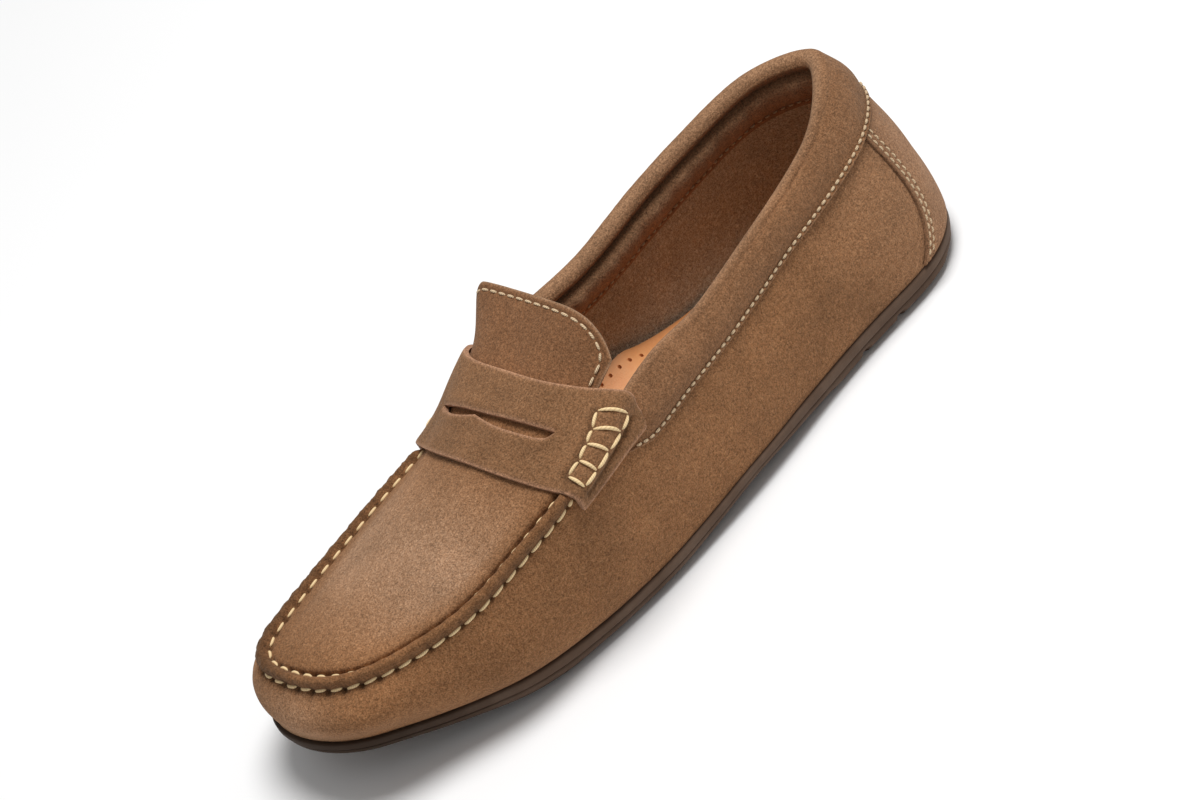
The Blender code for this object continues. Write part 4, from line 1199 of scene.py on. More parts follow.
@dataclass
class HeelPatch:
    """Suede patch round the back of the heel."""

    thick: float = 1.1
    gap: float = 0.2
    low: float = 0.02
    high: float = 0.715
    outer_front: float = 39.0
    inner_front: float = 37.0
    narrow: float = 0.67
    columns: int = 150
    rows: int = 60

    def __post_init__(self) -> None:
        outer = LAST.u_at(self.outer_front, Side.OUTER)
        inner = LAST.u_at(self.inner_front, Side.INNER) - 1.0
        self.middle = (outer + inner) / 2.0
        self.half = (outer - inner) / 2.0

    def reach(self, level: Array) -> Array:
        """Half width of the patch at a level, as a parameter round the shoe."""
        part = np.clip(np.asarray(level) / 0.70, 0.0, 1.0)
        return self.half * (self.narrow + 0.26 * (1.0 - part) ** 3.5)

    def point(self, share: Array, level: Array) -> Array:
        """Wall point under the patch, share from -1 on the inner side to 1 on the outer."""
        share = np.asarray(share, float)
        level = np.broadcast_to(np.asarray(level, float), share.shape)
        return LAST.wall(self.middle + share * self.reach(level), level)

    def build(self) -> Piece:
        """Make the patch."""
        share = np.linspace(-1.0, 1.0, self.columns)
        share = np.sign(share) * (1.0 - (1.0 - np.abs(share)) ** 1.15)
        levels = np.linspace(self.low, self.high, self.rows)
        points = np.stack([self.point(share, level) for level in levels], axis=1)
        normal = -grid_normals(points)
        points = points + normal * self.gap
        edge = np.minimum(far_from(points, points[:1]), far_from(points, points[-1:]))
        groove = 0.22 * bump(edge, 1.7, 0.5) + 0.22 * bump(edge, 4.0, 0.5)
        round_off = 0.35 * np.exp(-edge / 0.5)
        swell = 0.25 * ripple(points[..., 2] + 0.7 * points[..., 1], 23.0, 1.2) * ease(3.0, 8.0, edge)
        piece = Bench.sheet("heel_patch", points, flip=True)
        relief = normal * (swell - groove - round_off)[..., None]
        shade = 0.30 * bump(edge, 1.7, 0.6) + 0.30 * bump(edge, 4.0, 0.6)
        # Dark edge colour along the front edges: partly the dark raw edge and partly painted shade.
        rim = np.exp(-((edge / 0.7) ** 2))
        Bench.mark(piece, relief=relief, shade=shade, rim=rim, nap_and_highlight=np.full(edge.shape, 0.35))
        Bench.thicken(piece, self.thick, outward=True)
        Bench.smooth(piece, 50.0)
        return piece


class Rung(NamedTuple):
    """Cross stitch of the strap's ladder: share of the strap and reach from the crest, at both ends."""

    apron_share: float
    apron_reach: float
    wall_share: float
    wall_reach: float


LADDER = (
    Rung(0.22, 4.0, 0.14, -4.0),
    Rung(0.40, 3.3, 0.30, -4.6),
    Rung(0.54, 3.2, 0.52, -3.5),
    Rung(0.70, 3.2, 0.72, -2.7),
    Rung(0.86, 3.9, 0.90, -1.6),
)


@dataclass
class Strap:
    """Saddle strap over the instep with its cut slot and two end tabs."""

    rear: float = 147.0
    front: float = 182.0
    bow_rear: float = 12.5
    bow_front: float = 7.2
    tab_rear: float = 11.6
    tab_front: float = 4.5
    corner: float = 0.07
    inner_lower: float = 5.0
    clear: float = 0.6
    thick: float = 1.9
    hump: float = 1.2
    slot_x: float = 173.1
    slot_inner: float = -20.6
    slot_outer: float = 27.6
    slot_cusp: float = -2.0
    # Distance that stands for no edge or stitch nearby
    away: float = 99.0

    def x_at(self, share: Array) -> Array:
        """Length along the shoe at a share of the strap's length."""
        return self.rear + (self.front - self.rear) * share

    def drop(self, share: float) -> float:
        """How far the tabs reach down the wall at a share of the strap's length."""
        fall = self.tab_rear + (self.tab_front - self.tab_rear) * share
        return fall * (1.0 - 0.42 * max(0.0, 1.0 - share / self.corner) ** 2)

    def arc(self, share: Array, t: Array) -> Array:
        """Bed point on the arch, t from 1 at the outer crest to -1 at the inner crest."""
        x = self.x_at(share)
        bow = self.bow_rear + (self.bow_front - self.bow_rear) * share
        power = 2.2 + np.where(t < 0.0, 2.8, 0.4) * (1.0 - share)
        ahead = x + bow * (1.0 - np.abs(t) ** power)
        y = LAST.across(x, t)
        return np.stack([ahead, y, LAST.dome(ahead, y)], axis=-1)

    def tab(self, share: Array, part: Array, side: Side) -> Array:
        """Bed point on a tab, part from 0 at its lower edge to 1 at the crest."""
        points = []
        for one, place in zip(np.ravel(share), np.ravel(part)):
            u = LAST.u_at(self.x_at(one), side)
            tall = LAST.tall(np.array([u]))[0]
            points.append(LAST.wall(np.array([u]), 1.0 - self.drop(one) * (1.0 - place) / tall)[0])
        return np.array(points).reshape(*np.shape(share), 3)

    def spot(self, share: float, reach: float, side: Side) -> Array:
        """Bed point at a reach from the crest, above 0 on the arch and below 0 on the tab."""
        x = self.x_at(share)
        if reach < 0.0:
            u = np.array([LAST.u_at(x, side)])
            return LAST.wall(u, 1.0 + reach / LAST.tall(u)[0])[0]
        y_out, _, y_in, _ = LAST.edges(x)
        t = 1.0 - 2.0 * reach / float(y_out - y_in)
        return self.arc(np.array([share]), np.array([t if side is Side.OUTER else -t]))[0]

    def ladder(self, side: Side) -> Array:
        """Bed points of the cross stitches on one tab: rungs by ends by xyz."""
        lower = 0.0 if side is Side.OUTER else self.inner_lower
        rungs = []
        for rung in LADDER:
            reach = max(rung.wall_reach - lower, 1.2 - self.drop(rung.wall_share))
            apron = self.spot(rung.apron_share, rung.apron_reach - lower, side)
            rungs.append((apron, self.spot(rung.wall_share, reach, side)))
        return np.array(rungs)

    def pinch(self, points: Array) -> tuple:
        """How far the ladder's stitches pinch the strap, and the pillows between them."""
        nearest = np.full(points.shape[:2], self.away)
        pillow = np.zeros(points.shape[:2])
        for side in Side:
            rungs = self.ladder(side)
            lines = [(rung[0], rung[1]) for rung in rungs]
            lines += [(a[k], b[k]) for a, b in zip(rungs[:-1], rungs[1:]) for k in (0, 1)]
            for a, b in lines:
                share = np.clip(((points - a) @ (b - a)) / np.sum((b - a) ** 2), 0.0, 1.0)
                nearest = np.minimum(nearest, far_from(points - a, share[..., None] * (b - a)))
            middles = rungs.mean(axis=1)
            for a, b in zip(middles[:-1], middles[1:]):
                off = far_from(points, (a + b) / 2.0)
                pillow = np.maximum(pillow, np.exp(-((off / 2.2) ** 4)))
        return np.exp(-((nearest / 0.8) ** 2)), pillow

    def slot_shares(self, t: Array) -> tuple:
        """Shares of the strap's length at which the slot's two edges lie."""
        rear = self.arc(np.zeros(len(t)), t)
        front = self.arc(np.ones(len(t)), t)
        y = (rear[:, 1] + front[:, 1]) / 2.0
        outer = np.clip((y - self.slot_cusp) / (self.slot_outer - self.slot_cusp), 0.0, 1.0)
        inner = np.clip((self.slot_cusp - y) / (self.slot_cusp - self.slot_inner), 0.0, 1.0)
        lobe = 2.2 * np.sin(math.pi / 2.0 * np.minimum(1.0, outer / 0.55)) * (1.0 - outer ** 14)
        lobe = np.where(y > self.slot_cusp, lobe, 1.3 * np.sin(math.pi * inner))
        near_end = np.minimum(self.slot_outer - y, y - self.slot_inner)
        inside = np.sqrt(np.clip(near_end / 1.2, 0.0, 1.0))
        reach = np.clip(y, self.slot_inner, self.slot_outer)
        bow = np.where(reach > 0.0, 3.4 * (reach / 27.0) ** 2, 1.1 * (reach / 20.0) ** 2)
        length = front[:, 0] - rear[:, 0]
        first = (self.slot_x - bow - rear[:, 0]) / length
        second = (self.slot_x - bow + (1.2 + lobe) * inside - rear[:, 0]) / length
        return np.clip(first, 0.15, 0.85), np.clip(second, 0.15, 0.85)

    def half_sheet(self, name: str, before: bool) -> Piece:
        """One half of the strap, before or behind the slot's line."""
        tab_part = np.linspace(0.0, 1.0, 17)
        t = np.linspace(1.0, -1.0, 111)
        first, second = self.slot_shares(t)
        line = second if before else first
        rows = 28
        steps = np.linspace(0.0, 1.0, rows)
        grid = []
        seam = []
        edge = []
        for step in steps:
            def along(split: Array) -> Array:
                return split + (1.0 - split) * step if before else split * (1.0 - step)
            outer_share = np.full(len(tab_part) - 1, along(line[0]))
            inner_share = np.full(len(tab_part) - 1, along(line[-1]))
            arc_share = along(line)
            outer = self.tab(outer_share, tab_part[:-1], Side.OUTER)
            inner = self.tab(inner_share, tab_part[-2::-1], Side.INNER)
            grid.append(np.concatenate([outer, self.arc(arc_share, t), inner]))
            reach = self.drop(float(along(line[0])))
            down = reach * (1.0 - tab_part[:-1])
            on_tab = np.maximum(0.0, 1.0 - down / 4.0)
            on_arc = np.maximum(0.0, (np.abs(t) - 0.78) / 0.22)
            seam.append(np.concatenate([on_tab, on_arc, on_tab[::-1]]))
            off_tab = reach * tab_part[:-1]
            edge.append(np.concatenate([off_tab, np.full(len(t), self.away), off_tab[::-1]]))
        points = np.stack(grid, axis=1)
        seam = np.stack(seam, axis=1)
        edge = np.stack(edge, axis=1)
        normal, turned = upward_normals(points)
        slot = far_from(points, points[:, :1])
        beside = np.zeros(len(tab_part) - 1)
        open_slot = np.concatenate([beside, (second - first) > 0.002, beside])[:, None]
        edge = np.minimum(edge, far_from(points, points[:, -1:]))
        edge = np.minimum(edge, np.where(open_slot > 0.0, slot, self.away))
        inner = (np.arange(len(points)) > len(points) // 2)[:, None]
        seam = seam * np.where(inner, 0.25 + 0.75 * ease(152.0, 166.0, points[..., 0]), 1.0)
        lift = self.hump * seam - 0.45 * np.exp(-edge / 0.7)
        lift = lift + 0.16 * ripple(points[..., 1] + 0.6 * points[..., 0], 19.0, 0.8)
        lift = lift + 0.5 * bump(slot, 2.0, 2.2) * open_slot
        pinch, pillow = self.pinch(points)
        lift = lift - 0.7 * pinch + 0.5 * pillow * (1.0 - pinch)
        bed = points + normal * (self.clear + 0.6 * seam)[..., None]
        piece = Bench.sheet(name, bed, flip=turned)
        rim = np.exp(-((edge / 0.7) ** 2))
        Bench.mark(piece, relief=normal * lift[..., None], shade=0.6 * pinch, rim=rim)
        return piece

    def build(self) -> Piece:
        """Make the strap from its two halves, joined where the slot is shut."""
        halves = [self.half_sheet("strap_a", True), self.half_sheet("strap_b", False)]
        piece = Bench.join("saddle_strap", halves)
        Bench.merge(piece, 0.05)
        Bench.thicken(piece, self.thick, outward=True)
        Bench.smooth(piece, 50.0)
        return piece


@dataclass
class Tongue:
    """Suede tab that rises behind the strap."""

    upper: Upper
    thick: float = 2.0
    wide: float = 0.80
    tip: float = 138.2
    free: float = 158.0
    columns: int = 100
    rows: int = 60

    def point(self, t: Array, step: Array) -> Array:
        """Point of the top face, step from 0 under the strap to 1 at the free edge."""
        t = np.asarray(t, float)
        start = self.upper.throat(t * self.wide / self.upper.throat_wide) - 0.5
        end = self.tip + np.where(t > 0.0, 5.0 * np.abs(t) ** 7, 1.5 * t ** 12)
        x = start + (end - start) * step
        clear = np.clip((self.free - x) / (self.free - self.tip), 0.0, 1.0)
        loose = clear * clear * (3.0 - 2.0 * clear)
        lean = 0.06 * loose * (1.0 - np.maximum(0.0, t) * loose)
        draw = ease(0.0, 0.2, clear) * (1.0 - 0.45 * ease(0.4, 1.0, clear))
        lean = lean + 0.11 * draw * np.maximum(0.0, -t) ** 3
        y = LAST.across(x, t * (self.wide + 0.11 * loose) - lean)
        arch = LAST.dome(x, y)
        level = instep_height(x) - 0.8 * t ** 2
        flat = loose * (1.0 - 0.6 * np.maximum(0.0, t) ** 1.6)
        droop = 3.9 * np.sqrt(loose) * np.clip((-t - 0.84) / 0.16, 0.0, 1.0) ** 2
        return np.stack([x, y, arch + (level - arch) * flat - droop], axis=-1)

    def build(self) -> Piece:
        """Make the tongue with the trough of its edge stitching."""
        t = np.linspace(1.0, -1.0, self.columns)
        steps = np.linspace(0.0, 1.0, self.rows) ** 0.8
        points = np.stack([self.point(t, step) for step in steps], axis=1)
        normal, turned = upward_normals(points)
        edge = np.minimum(far_from(points, points[:1]), far_from(points, points[-1:]))
        edge = np.minimum(edge, far_from(points, points[:, -1:]))
        lift = 0.2 * ripple(points[..., 1] - points[..., 0], 21.0, 0.5) * ease(3.0, 8.0, edge)
        lift = lift - 0.35 * np.exp(-edge / 0.6) - 0.3 * bump(edge, 2.3, 0.55)
        piece = Bench.sheet("tongue_suede", points, flip=turned)
        shade = 0.3 * bump(edge, 2.3, 0.6)
        Bench.mark(piece, relief=normal * lift[..., None], shade=shade, rim=np.exp(-((edge / 0.5) ** 2)))
        Bench.thicken(piece, self.thick)
        Bench.smooth(piece, 50.0)
        return piece


@dataclass
class Lining:
    """Suede that lines the quarters down to the sock."""

    wall: float = 0.5
    inset: float = 2.3
    end: float = 158.0

    def build(self) -> Piece:
        """Make the lining as a thin sheet against the inside of the wall."""
        marks = LAST.rear(self.end, 200)
        levels = np.linspace(0.03, 0.745, 28)
        out = LAST.outward(marks)
        points = np.stack([LAST.wall(marks, level) - out * self.inset for level in levels], axis=1)
        x = points[..., 0]
        normal = grid_normals(points)
        lift = 0.18 * ripple(x + 0.8 * points[..., 2], 18.0, 1.5)
        piece = Bench.sheet("quarter_lining", points)
        shade = 0.25 * bump(np.repeat(levels[None, :], len(marks), axis=0), 0.03, 0.06)
        Bench.mark(piece, relief=normal * lift[..., None], shade=shade, rim=np.zeros(x.shape))
        Bench.thicken(piece, self.wall, outward=True)
        Bench.smooth(piece, 60.0)
        return piece


@dataclass
class Sock:
    """Tan leather sock on the footbed, cupped at the inner arch, with pinholes."""

    inset: float = 2.9
    high: float = 2.4
    thick: float = 2.2
    half: int = 120
    lanes: int = 41
    # Rise of the cupped arch along the shoe: x, rise
    cup: tuple = (
        (30.0, 0.8), (70.0, 2.4), (93.0, 6.6), (102.0, 9.4), (109.0, 12.0), (122.0, 10.5), (150.0, 3.0),
    )
    # Row of pinholes in the cupped arch: x, y
    pinholes: tuple = ((103.6, -21.6), (107.8, -22.2), (111.9, -22.8), (116.0, -23.3), (120.1, -23.8))
    pinhole: float = 0.62
    peg_middle: float = 16.0
    peg_length: float = 22.0

    def build(self) -> Piece:
        """Make the sock."""
        outer, inner = LAST.outline(self.half)
        a = LAST.feather(outer) - LAST.outward(outer) * self.inset
        b = LAST.feather(inner) - LAST.outward(inner) * self.inset
        share = np.linspace(0.0, 1.0, self.lanes)
        share = share * share * (3.0 - 2.0 * share) * 0.5 + share * 0.5
        points = a[:, None] * (1.0 - share[None, :, None]) + b[:, None] * share[None, :, None]
        x = points[..., 0]
        points[..., 2] = feather_height(x) + self.high
        climb = smooth_table(self.cup)(x) * (x > 30.0)
        points[..., 2] += climb * np.clip((share[None, :] - 0.62) / 0.38, 0.0, 1.0) ** 1.7
        points[..., 2] += 0.8 * np.clip((0.25 - share[None, :]) / 0.25, 0.0, 1.0) ** 2
        piece = Bench.sheet("sock_leather", points)
        side = np.minimum(share, 1.0 - share)[None, :] * np.linalg.norm(a - b, axis=1)[:, None]
        Bench.mark(piece, shade=0.5 * np.exp(-side / 1.2))
        Bench.merge(piece)
        if sum(face.normal.z for face in piece.data.polygons) < 0.0:
            Bench.edit(piece, bpy.ops.mesh.flip_normals)
        Bench.thicken(piece, self.thick)
        self.pierce(piece)
        Bench.smooth(piece, 50.0)
        return piece

    def pierce(self, piece: Piece) -> None:
        """Cut the pinholes with one cutter made of upright pegs."""
        pegs = []
        for x, y in self.pinholes:
            place = (np.array([x, y, self.peg_middle]) + TO_FRAME) * MM
            size = {"vertices": 14, "radius": self.pinhole * MM, "depth": self.peg_length * MM}
            add = bpy.ops.mesh.primitive_cylinder_add
            pegs.append(Bench.primitive("pinhole_peg", add, location=place, **size))
            bpy.ops.object.transform_apply(location=True, rotation=True, scale=True)
        cutter = Bench.join("pinhole_cutter", pegs)
        Bench.only(piece)
        cut = piece.modifiers.new("pinholes", "BOOLEAN")
        cut.operation = "DIFFERENCE"
        cut.solver = "EXACT"
        cut.object = cutter
        bpy.ops.object.modifier_apply(modifier=cut.name)
        bpy.data.objects.remove(cutter, do_unlink=True)


class TreadLine(NamedTuple):
    """Line of the tread along the shoe through its back, middle, front and toe points."""

    back_x: float
    back_y: float
    middle_x: float
    middle_y: float
    front_x: float
    front_y: float
    toe_x: float
    toe_y: float


FOREFOOT_TREAD = (
    TreadLine(137.0, 34.2, 180.0, 35.8, 232.0, 21.4, 241.5, 16.4),
    TreadLine(139.0, 18.4, 186.0, 20.4, 244.0, 8.6, 257.5, 3.4),
    TreadLine(143.0, 0.5, 200.0, -1.5, 253.0, -4.0, 266.0, -9.0),
    TreadLine(153.0, -15.0, 214.0, -24.0, 257.0, -16.0, 264.5, -20.0),
    TreadLine(165.0, -31.0, 221.0, -41.5, 258.0, -29.0, 261.5, -29.5),
)
HEEL_TREAD = (
    TreadLine(20.0, 27.0, 55.0, 31.0, 90.0, 31.5, 97.0, 32.0),
    TreadLine(9.0, 12.0, 52.0, 12.4, 92.0, 12.6, 99.0, 12.8),
    TreadLine(9.0, -5.0, 52.0, -6.4, 94.0, -6.0, 101.0, -5.8),
    TreadLine(20.0, -19.0, 56.0, -24.0, 96.0, -21.0, 103.0, -20.0),
)


class TreadField(NamedTuple):
    """Field of tread blocks: its lines, its count of blocks, its first and its last step."""

    lines: tuple
    blocks: int
    first: float
    last: float


TREAD_FIELDS = (TreadField(FOREFOOT_TREAD, 5, -0.45, 6.24), TreadField(HEEL_TREAD, 3, -0.1, 3.7))


@dataclass
class Outsole:
    """Moulded rubber sole: lip, stepped side band and tread blocks."""

    gap: float = 0.3
    half: int = 330
    lanes: int = 170
    mesh: float = 0.05
    deep: float = 2.6
    dent: float = 0.5
    notches: tuple = (46.8, 64.4)
    # Edge of a block between its top and the channel, as shares of its pitch from its middle
    block_edge: tuple = (0.375, 0.435)
    # Section of the side: outset from the feather line, drop as a part of the sole's height
    side: tuple = (
        (-1.0, 0.00), (0.2, 0.00), (0.75, 0.015), (1.1, 0.05), (1.2, 0.10), (1.2, 0.20), (1.2, 0.30),
        (1.1, 0.345), (0.75, 0.375), (0.25, 0.395), (0.0, 0.42), (0.2, 0.45), (0.42, 0.48), (0.45, 0.55),
        (0.35, 0.62), (0.0, 0.67), (-0.7, 0.735), (-1.6, 0.82), (-2.5, 0.905), (-3.1, 0.965), (-3.6, 1.0),
    )

    def lugs(self, x: Array) -> Array:
        """How far the heel's tread stands out of the side, below 0 at the two notches."""
        proud = 0.8 * ease(16.0, 24.0, x) * (1.0 - ease(77.0, 84.0, x))
        for middle in self.notches:
            proud = proud - 2.0 * (1.0 - ease(1.5, 2.3, np.abs(x - middle)))
        return proud

    def track(self, line: TreadLine, step: Array, blocks: int) -> Array:
        """Plan points on a tread line, counted in blocks from its back end."""
        back = np.array(line[0:2])
        middle = np.array(line[2:4])
        front = np.array(line[4:6])
        toe = np.array(line[6:8])
        s = np.asarray(step, float)[:, None] / blocks
        bow = back * (2 * s - 1) * (s - 1) + middle * 4 * s * (1 - s) + front * s * (2 * s - 1)
        return np.where(s > 1.0, front + (toe - front) * (s - 1.0) * blocks, bow)

    def field(self, tread: TreadField) -> tuple:
        """Dense grid of plan points in a tread field with their step and lane."""
        lines, blocks, first, last = tread
        steps = np.arange(first, last, self.mesh)
        lanes = np.arange(-0.12, len(lines) - 0.88, self.mesh)
        tracks = [self.track(line, np.maximum(steps, 0.0), blocks) for line in lines]
        ahead = [self.track(line, np.full(len(steps), 0.25), blocks) for line in lines]
        behind = np.maximum(-steps, 0.0)[:, None] / 0.25
        tracks = np.array([one + (one - two) * behind for one, two in zip(tracks, ahead)])
        m = np.clip(np.floor(lanes).astype(int), 0, len(lines) - 2)
        share = (lanes - m)[:, None, None]
        plan = tracks[m] * (1.0 - share) + tracks[m + 1] * share
        step = np.broadcast_to(steps[None, :], plan.shape[:2])
        lane = np.broadcast_to(lanes[:, None], plan.shape[:2])
        return plan, step.ravel(), lane.ravel()

    def located(self, tread: TreadField, plan: Array) -> tuple:
        """Step and lane of plan points in a tread field, and 1 where they lie within it."""
        grid, step, lane = self.field(tread)
        spots = grid.reshape(-1, 2)
        tree = KDTree(len(spots))
        for k, spot in enumerate(spots):
            tree.insert((spot[0], spot[1], 0.0), k)
        tree.balance()
        near = np.array([tree.find((x, y, 0.0))[1] for x, y in plan])
        along = np.gradient(grid, self.mesh, axis=1).reshape(-1, 2)[near]
        across = np.gradient(grid, self.mesh, axis=0).reshape(-1, 2)[near]
        off = plan - spots[near]
        turn = along[:, 0] * across[:, 1] - along[:, 1] * across[:, 0]
        more_step = (off[:, 0] * across[:, 1] - off[:, 1] * across[:, 0]) / turn
        more_lane = (along[:, 0] * off[:, 1] - along[:, 1] * off[:, 0]) / turn
        within = 1.0 - ease(0.045, 0.095, np.maximum(np.abs(more_step), np.abs(more_lane)))
        at_step = step[near] + np.clip(more_step, -0.1, 0.1)
        at_lane = lane[near] + np.clip(more_lane, -0.1, 0.1)
        return at_step, at_lane, within

    def tread(self, plan: Array) -> tuple:
        """Depth of the channels, mark of the blocks and dents under plan points."""
        depth = np.zeros(len(plan))
        block = np.zeros(len(plan))
        dent = np.zeros(len(plan))
        for tread in TREAD_FIELDS:
            at_step, at_lane, within = self.located(tread, plan)
            wide = len(tread.lines) - 1.0
            cell = np.abs(at_lane - np.floor(at_lane) - 0.5)
            row = np.abs(at_step - np.floor(at_step) - 0.5)
            behind = 1.0 - ease(-0.12, -0.06, at_step)
            stub = np.maximum(behind, ease(tread.blocks + 0.06, tread.blocks + 0.12, at_step))
            inner = ease(-0.03, 0.03, at_lane) * (1.0 - ease(wide - 0.03, wide + 0.03, at_lane))
            top = 1.0 - ease(*self.block_edge, cell)
            top = top * np.maximum(1.0 - ease(*self.block_edge, row), stub)
            top = top * inner + stub * (1.0 - inner)
            depth = np.maximum(depth, self.deep * (1.0 - top) * within)
            stands = inner * (1.0 - stub) * within
            block = np.maximum(block, top * stands)
            middle_lane = (at_lane > 1.0) & (at_lane < wide - 1.0)
            dot = np.exp(-((np.hypot(cell, row) / 0.17) ** 4)) * stands * middle_lane
            dent = np.maximum(dent, dot)
        return depth, block, dent

    def plate(self, rim: Array, lanes: int) -> Array:
        """Grid between the outer and the inner half of a rim."""
        outer = rim[: self.half + 1]
        inner = rim[self.half:][::-1]
        share = np.linspace(0.0, 1.0, lanes)[None, :, None]
        return outer[:, None] * (1.0 - share) + inner[:, None] * share

    def build(self) -> Piece:
        """Make the sole from its side, its tread and its footbed."""
        outer, inner = LAST.outline(self.half)
        marks = np.concatenate([outer, inner[-2::-1]])
        base = LAST.feather(marks)
        out = LAST.outward(marks)
        top_z = base[:, 2] - self.gap
        rings = []
        lug = self.lugs(base[:, 0]) * ease(0.2, 0.5, np.abs(out[:, 1]))
        for outset, drop in self.side:
            proud = lug * ease(0.58, 0.70, drop)
            plan = base[:, :2] + out[:, :2] * (outset + proud)[:, None]
            z = top_z + (bottom_height(plan[:, 0]) - top_z) * drop
            rings.append(np.c_[plan, z])
        points = np.stack(rings, axis=1)
        drops = np.array([drop for _, drop in self.side])
        side = Bench.sheet("sole_side", points)
        shade = 0.5 * bump(drops, 0.41, 0.04)[None, :] + 1.0 * ease(212.0, 262.0, points[..., 0])
        Bench.mark(side, shade=np.clip(shade, 0.0, 1.0), block=np.zeros(shade.shape))
        floor = self.plate(points[:, -1], self.lanes)
        rim_height = floor[:, [0, -1], 2]
        depth, block, dent = self.tread(floor[..., :2].reshape(-1, 2))
        depth = depth.reshape(floor.shape[:2])
        floor[..., 2] = bottom_height(floor[..., 0]) + depth + self.dent * dent.reshape(depth.shape)
        floor[:, [0, -1], 2] = rim_height
        floor[0] = floor[0, :1]
        floor[-1] = floor[-1, :1]
        under = Bench.sheet("sole_under", floor)
        Bench.mark(under, shade=0.35 * depth / self.deep, block=block.reshape(depth.shape))
        bed = self.plate(points[:, 0], 9)
        lip_height = bed[:, [0, -1], 2]
        bed[..., 2] = feather_height(bed[..., 0]) - self.gap
        bed[:, [0, -1], 2] = lip_height
        over = Bench.sheet("sole_bed", bed)
        Bench.mark(over, shade=np.zeros(bed.shape[:2]), block=np.zeros(bed.shape[:2]))
        piece = Bench.join("rubber_sole", [side, under, over])
        Bench.merge(piece, 0.02)
        Bench.outward(piece)
        Bench.smooth(piece, 40.0)
        return piece


class Style(NamedTuple):
    """How a row is sewn: thread radius, sink and dip in radii, part of the pitch covered, pitch."""

    radius: float
    sink: float
    dip: float
    cover: float
    pitch: float


# The two seam rows and the ladder take their pitch from the seam and the ladder
WALL_STYLE = Style(0.60, 0.25, 0.9, 0.80, 0.0)
APRON_STYLE = Style(0.52, 0.45, 0.9, 0.66, 0.0)
LADDER_STYLE = Style(0.60, 0.20, 0.9, 0.84, 0.0)
COLLAR_STYLE = Style(0.46, 0.00, 0.9, 0.74, 2.85)
INSIDE_STYLE = Style(0.34, 0.55, 0.6, 0.62, 2.85)
PATCH_STYLE = Style(0.36, 0.30, 0.9, 0.78, 2.7)
TONGUE_STYLE = Style(0.44, 0.35, 0.9, 0.78, 4.1)
UPRIGHT = np.array([0.0, 0.0, 1.0])


class Thread:
    """Stitches: one stitch is modelled, then copied along a row."""

    def __init__(self) -> None:
        add = bpy.ops.mesh.primitive_uv_sphere_add
        self.model = Bench.primitive("stitch_model", add, segments=8, ring_count=9, radius=1.0)
        for vertex in self.model.data.vertices:
            x, y, z = vertex.co
            flat = math.hypot(x, y)
            full = (1.0 - min(1.0, abs(z)) ** 3.2) ** 0.5
            if flat > 1e-6:
                vertex.co.x = x / flat * full
                vertex.co.y = y / flat * full
        self.model.data.update()

    def row(self, name: str, stitches: list, style: Style) -> Piece:
        """Copy the stitch along a row.

        Args:
            name: name of the joined row.
            stitches: pairs of seats, each a place and a normal in the frame's metres,
                with a place for the middle where the stitch bends over an edge.
            style: how the row is sewn.
        Returns:
            The row as one piece.
        """
        radius, sink, dip = style[:3]
        copies = []
        for (start, start_normal), (end, end_normal), *between in stitches:
            bow = between[0] - (start + end) / 2.0 if between else Vector()
            along = end - start
            length = along.length
            if length < 1e-5:
                continue
            along.normalize()
            normal = (start_normal + end_normal).normalized()
            across = normal.cross(along).normalized()
            normal = along.cross(across).normalized()
            copy = self.model.copy()
            copy.data = self.model.data.copy()
            bpy.context.collection.objects.link(copy)
            middle = (start + end) / 2.0 + normal * radius * MM * (1.0 - sink)
            for vertex in copy.data.vertices:
                x, y, z = vertex.co
                drop = dip * radius * MM * abs(z) ** 3
                place = middle + across * (x * radius * MM) + normal * (y * radius * MM - drop)
                vertex.co = place + along * (z * length / 2.0) + bow * (1.0 - z * z)
            copies.append(copy)
        piece = Bench.join(name, copies)
        Bench.only(piece)
        bpy.ops.object.shade_smooth()
        return piece

    def clear(self) -> None:
        """Remove the model once every row is made."""
        bpy.data.objects.remove(self.model, do_unlink=True)


def pairs(seats: list, cover: float) -> list:
    """Split a run of seats into stitches that each cover a part of their pitch."""
    made = []
    for (first, first_normal), (second, second_normal) in zip(seats[:-1], seats[1:]):
        middle = (first + second) / 2.0
        reach = (second - first) * (cover / 2.0)
        normal = (first_normal + second_normal).normalized()
        made.append(((middle - reach, normal), (middle + reach, normal)))
    return made


def even(points: Array, pitch: float) -> Array:
    """Points along a line at an even pitch."""
    run = lengths(points)
    count = max(2, int(round(run[-1] / pitch)) + 1)
    place = np.linspace(0.0, run[-1], count)
    return np.stack([np.interp(place, run, points[:, k]) for k in range(3)], axis=1)


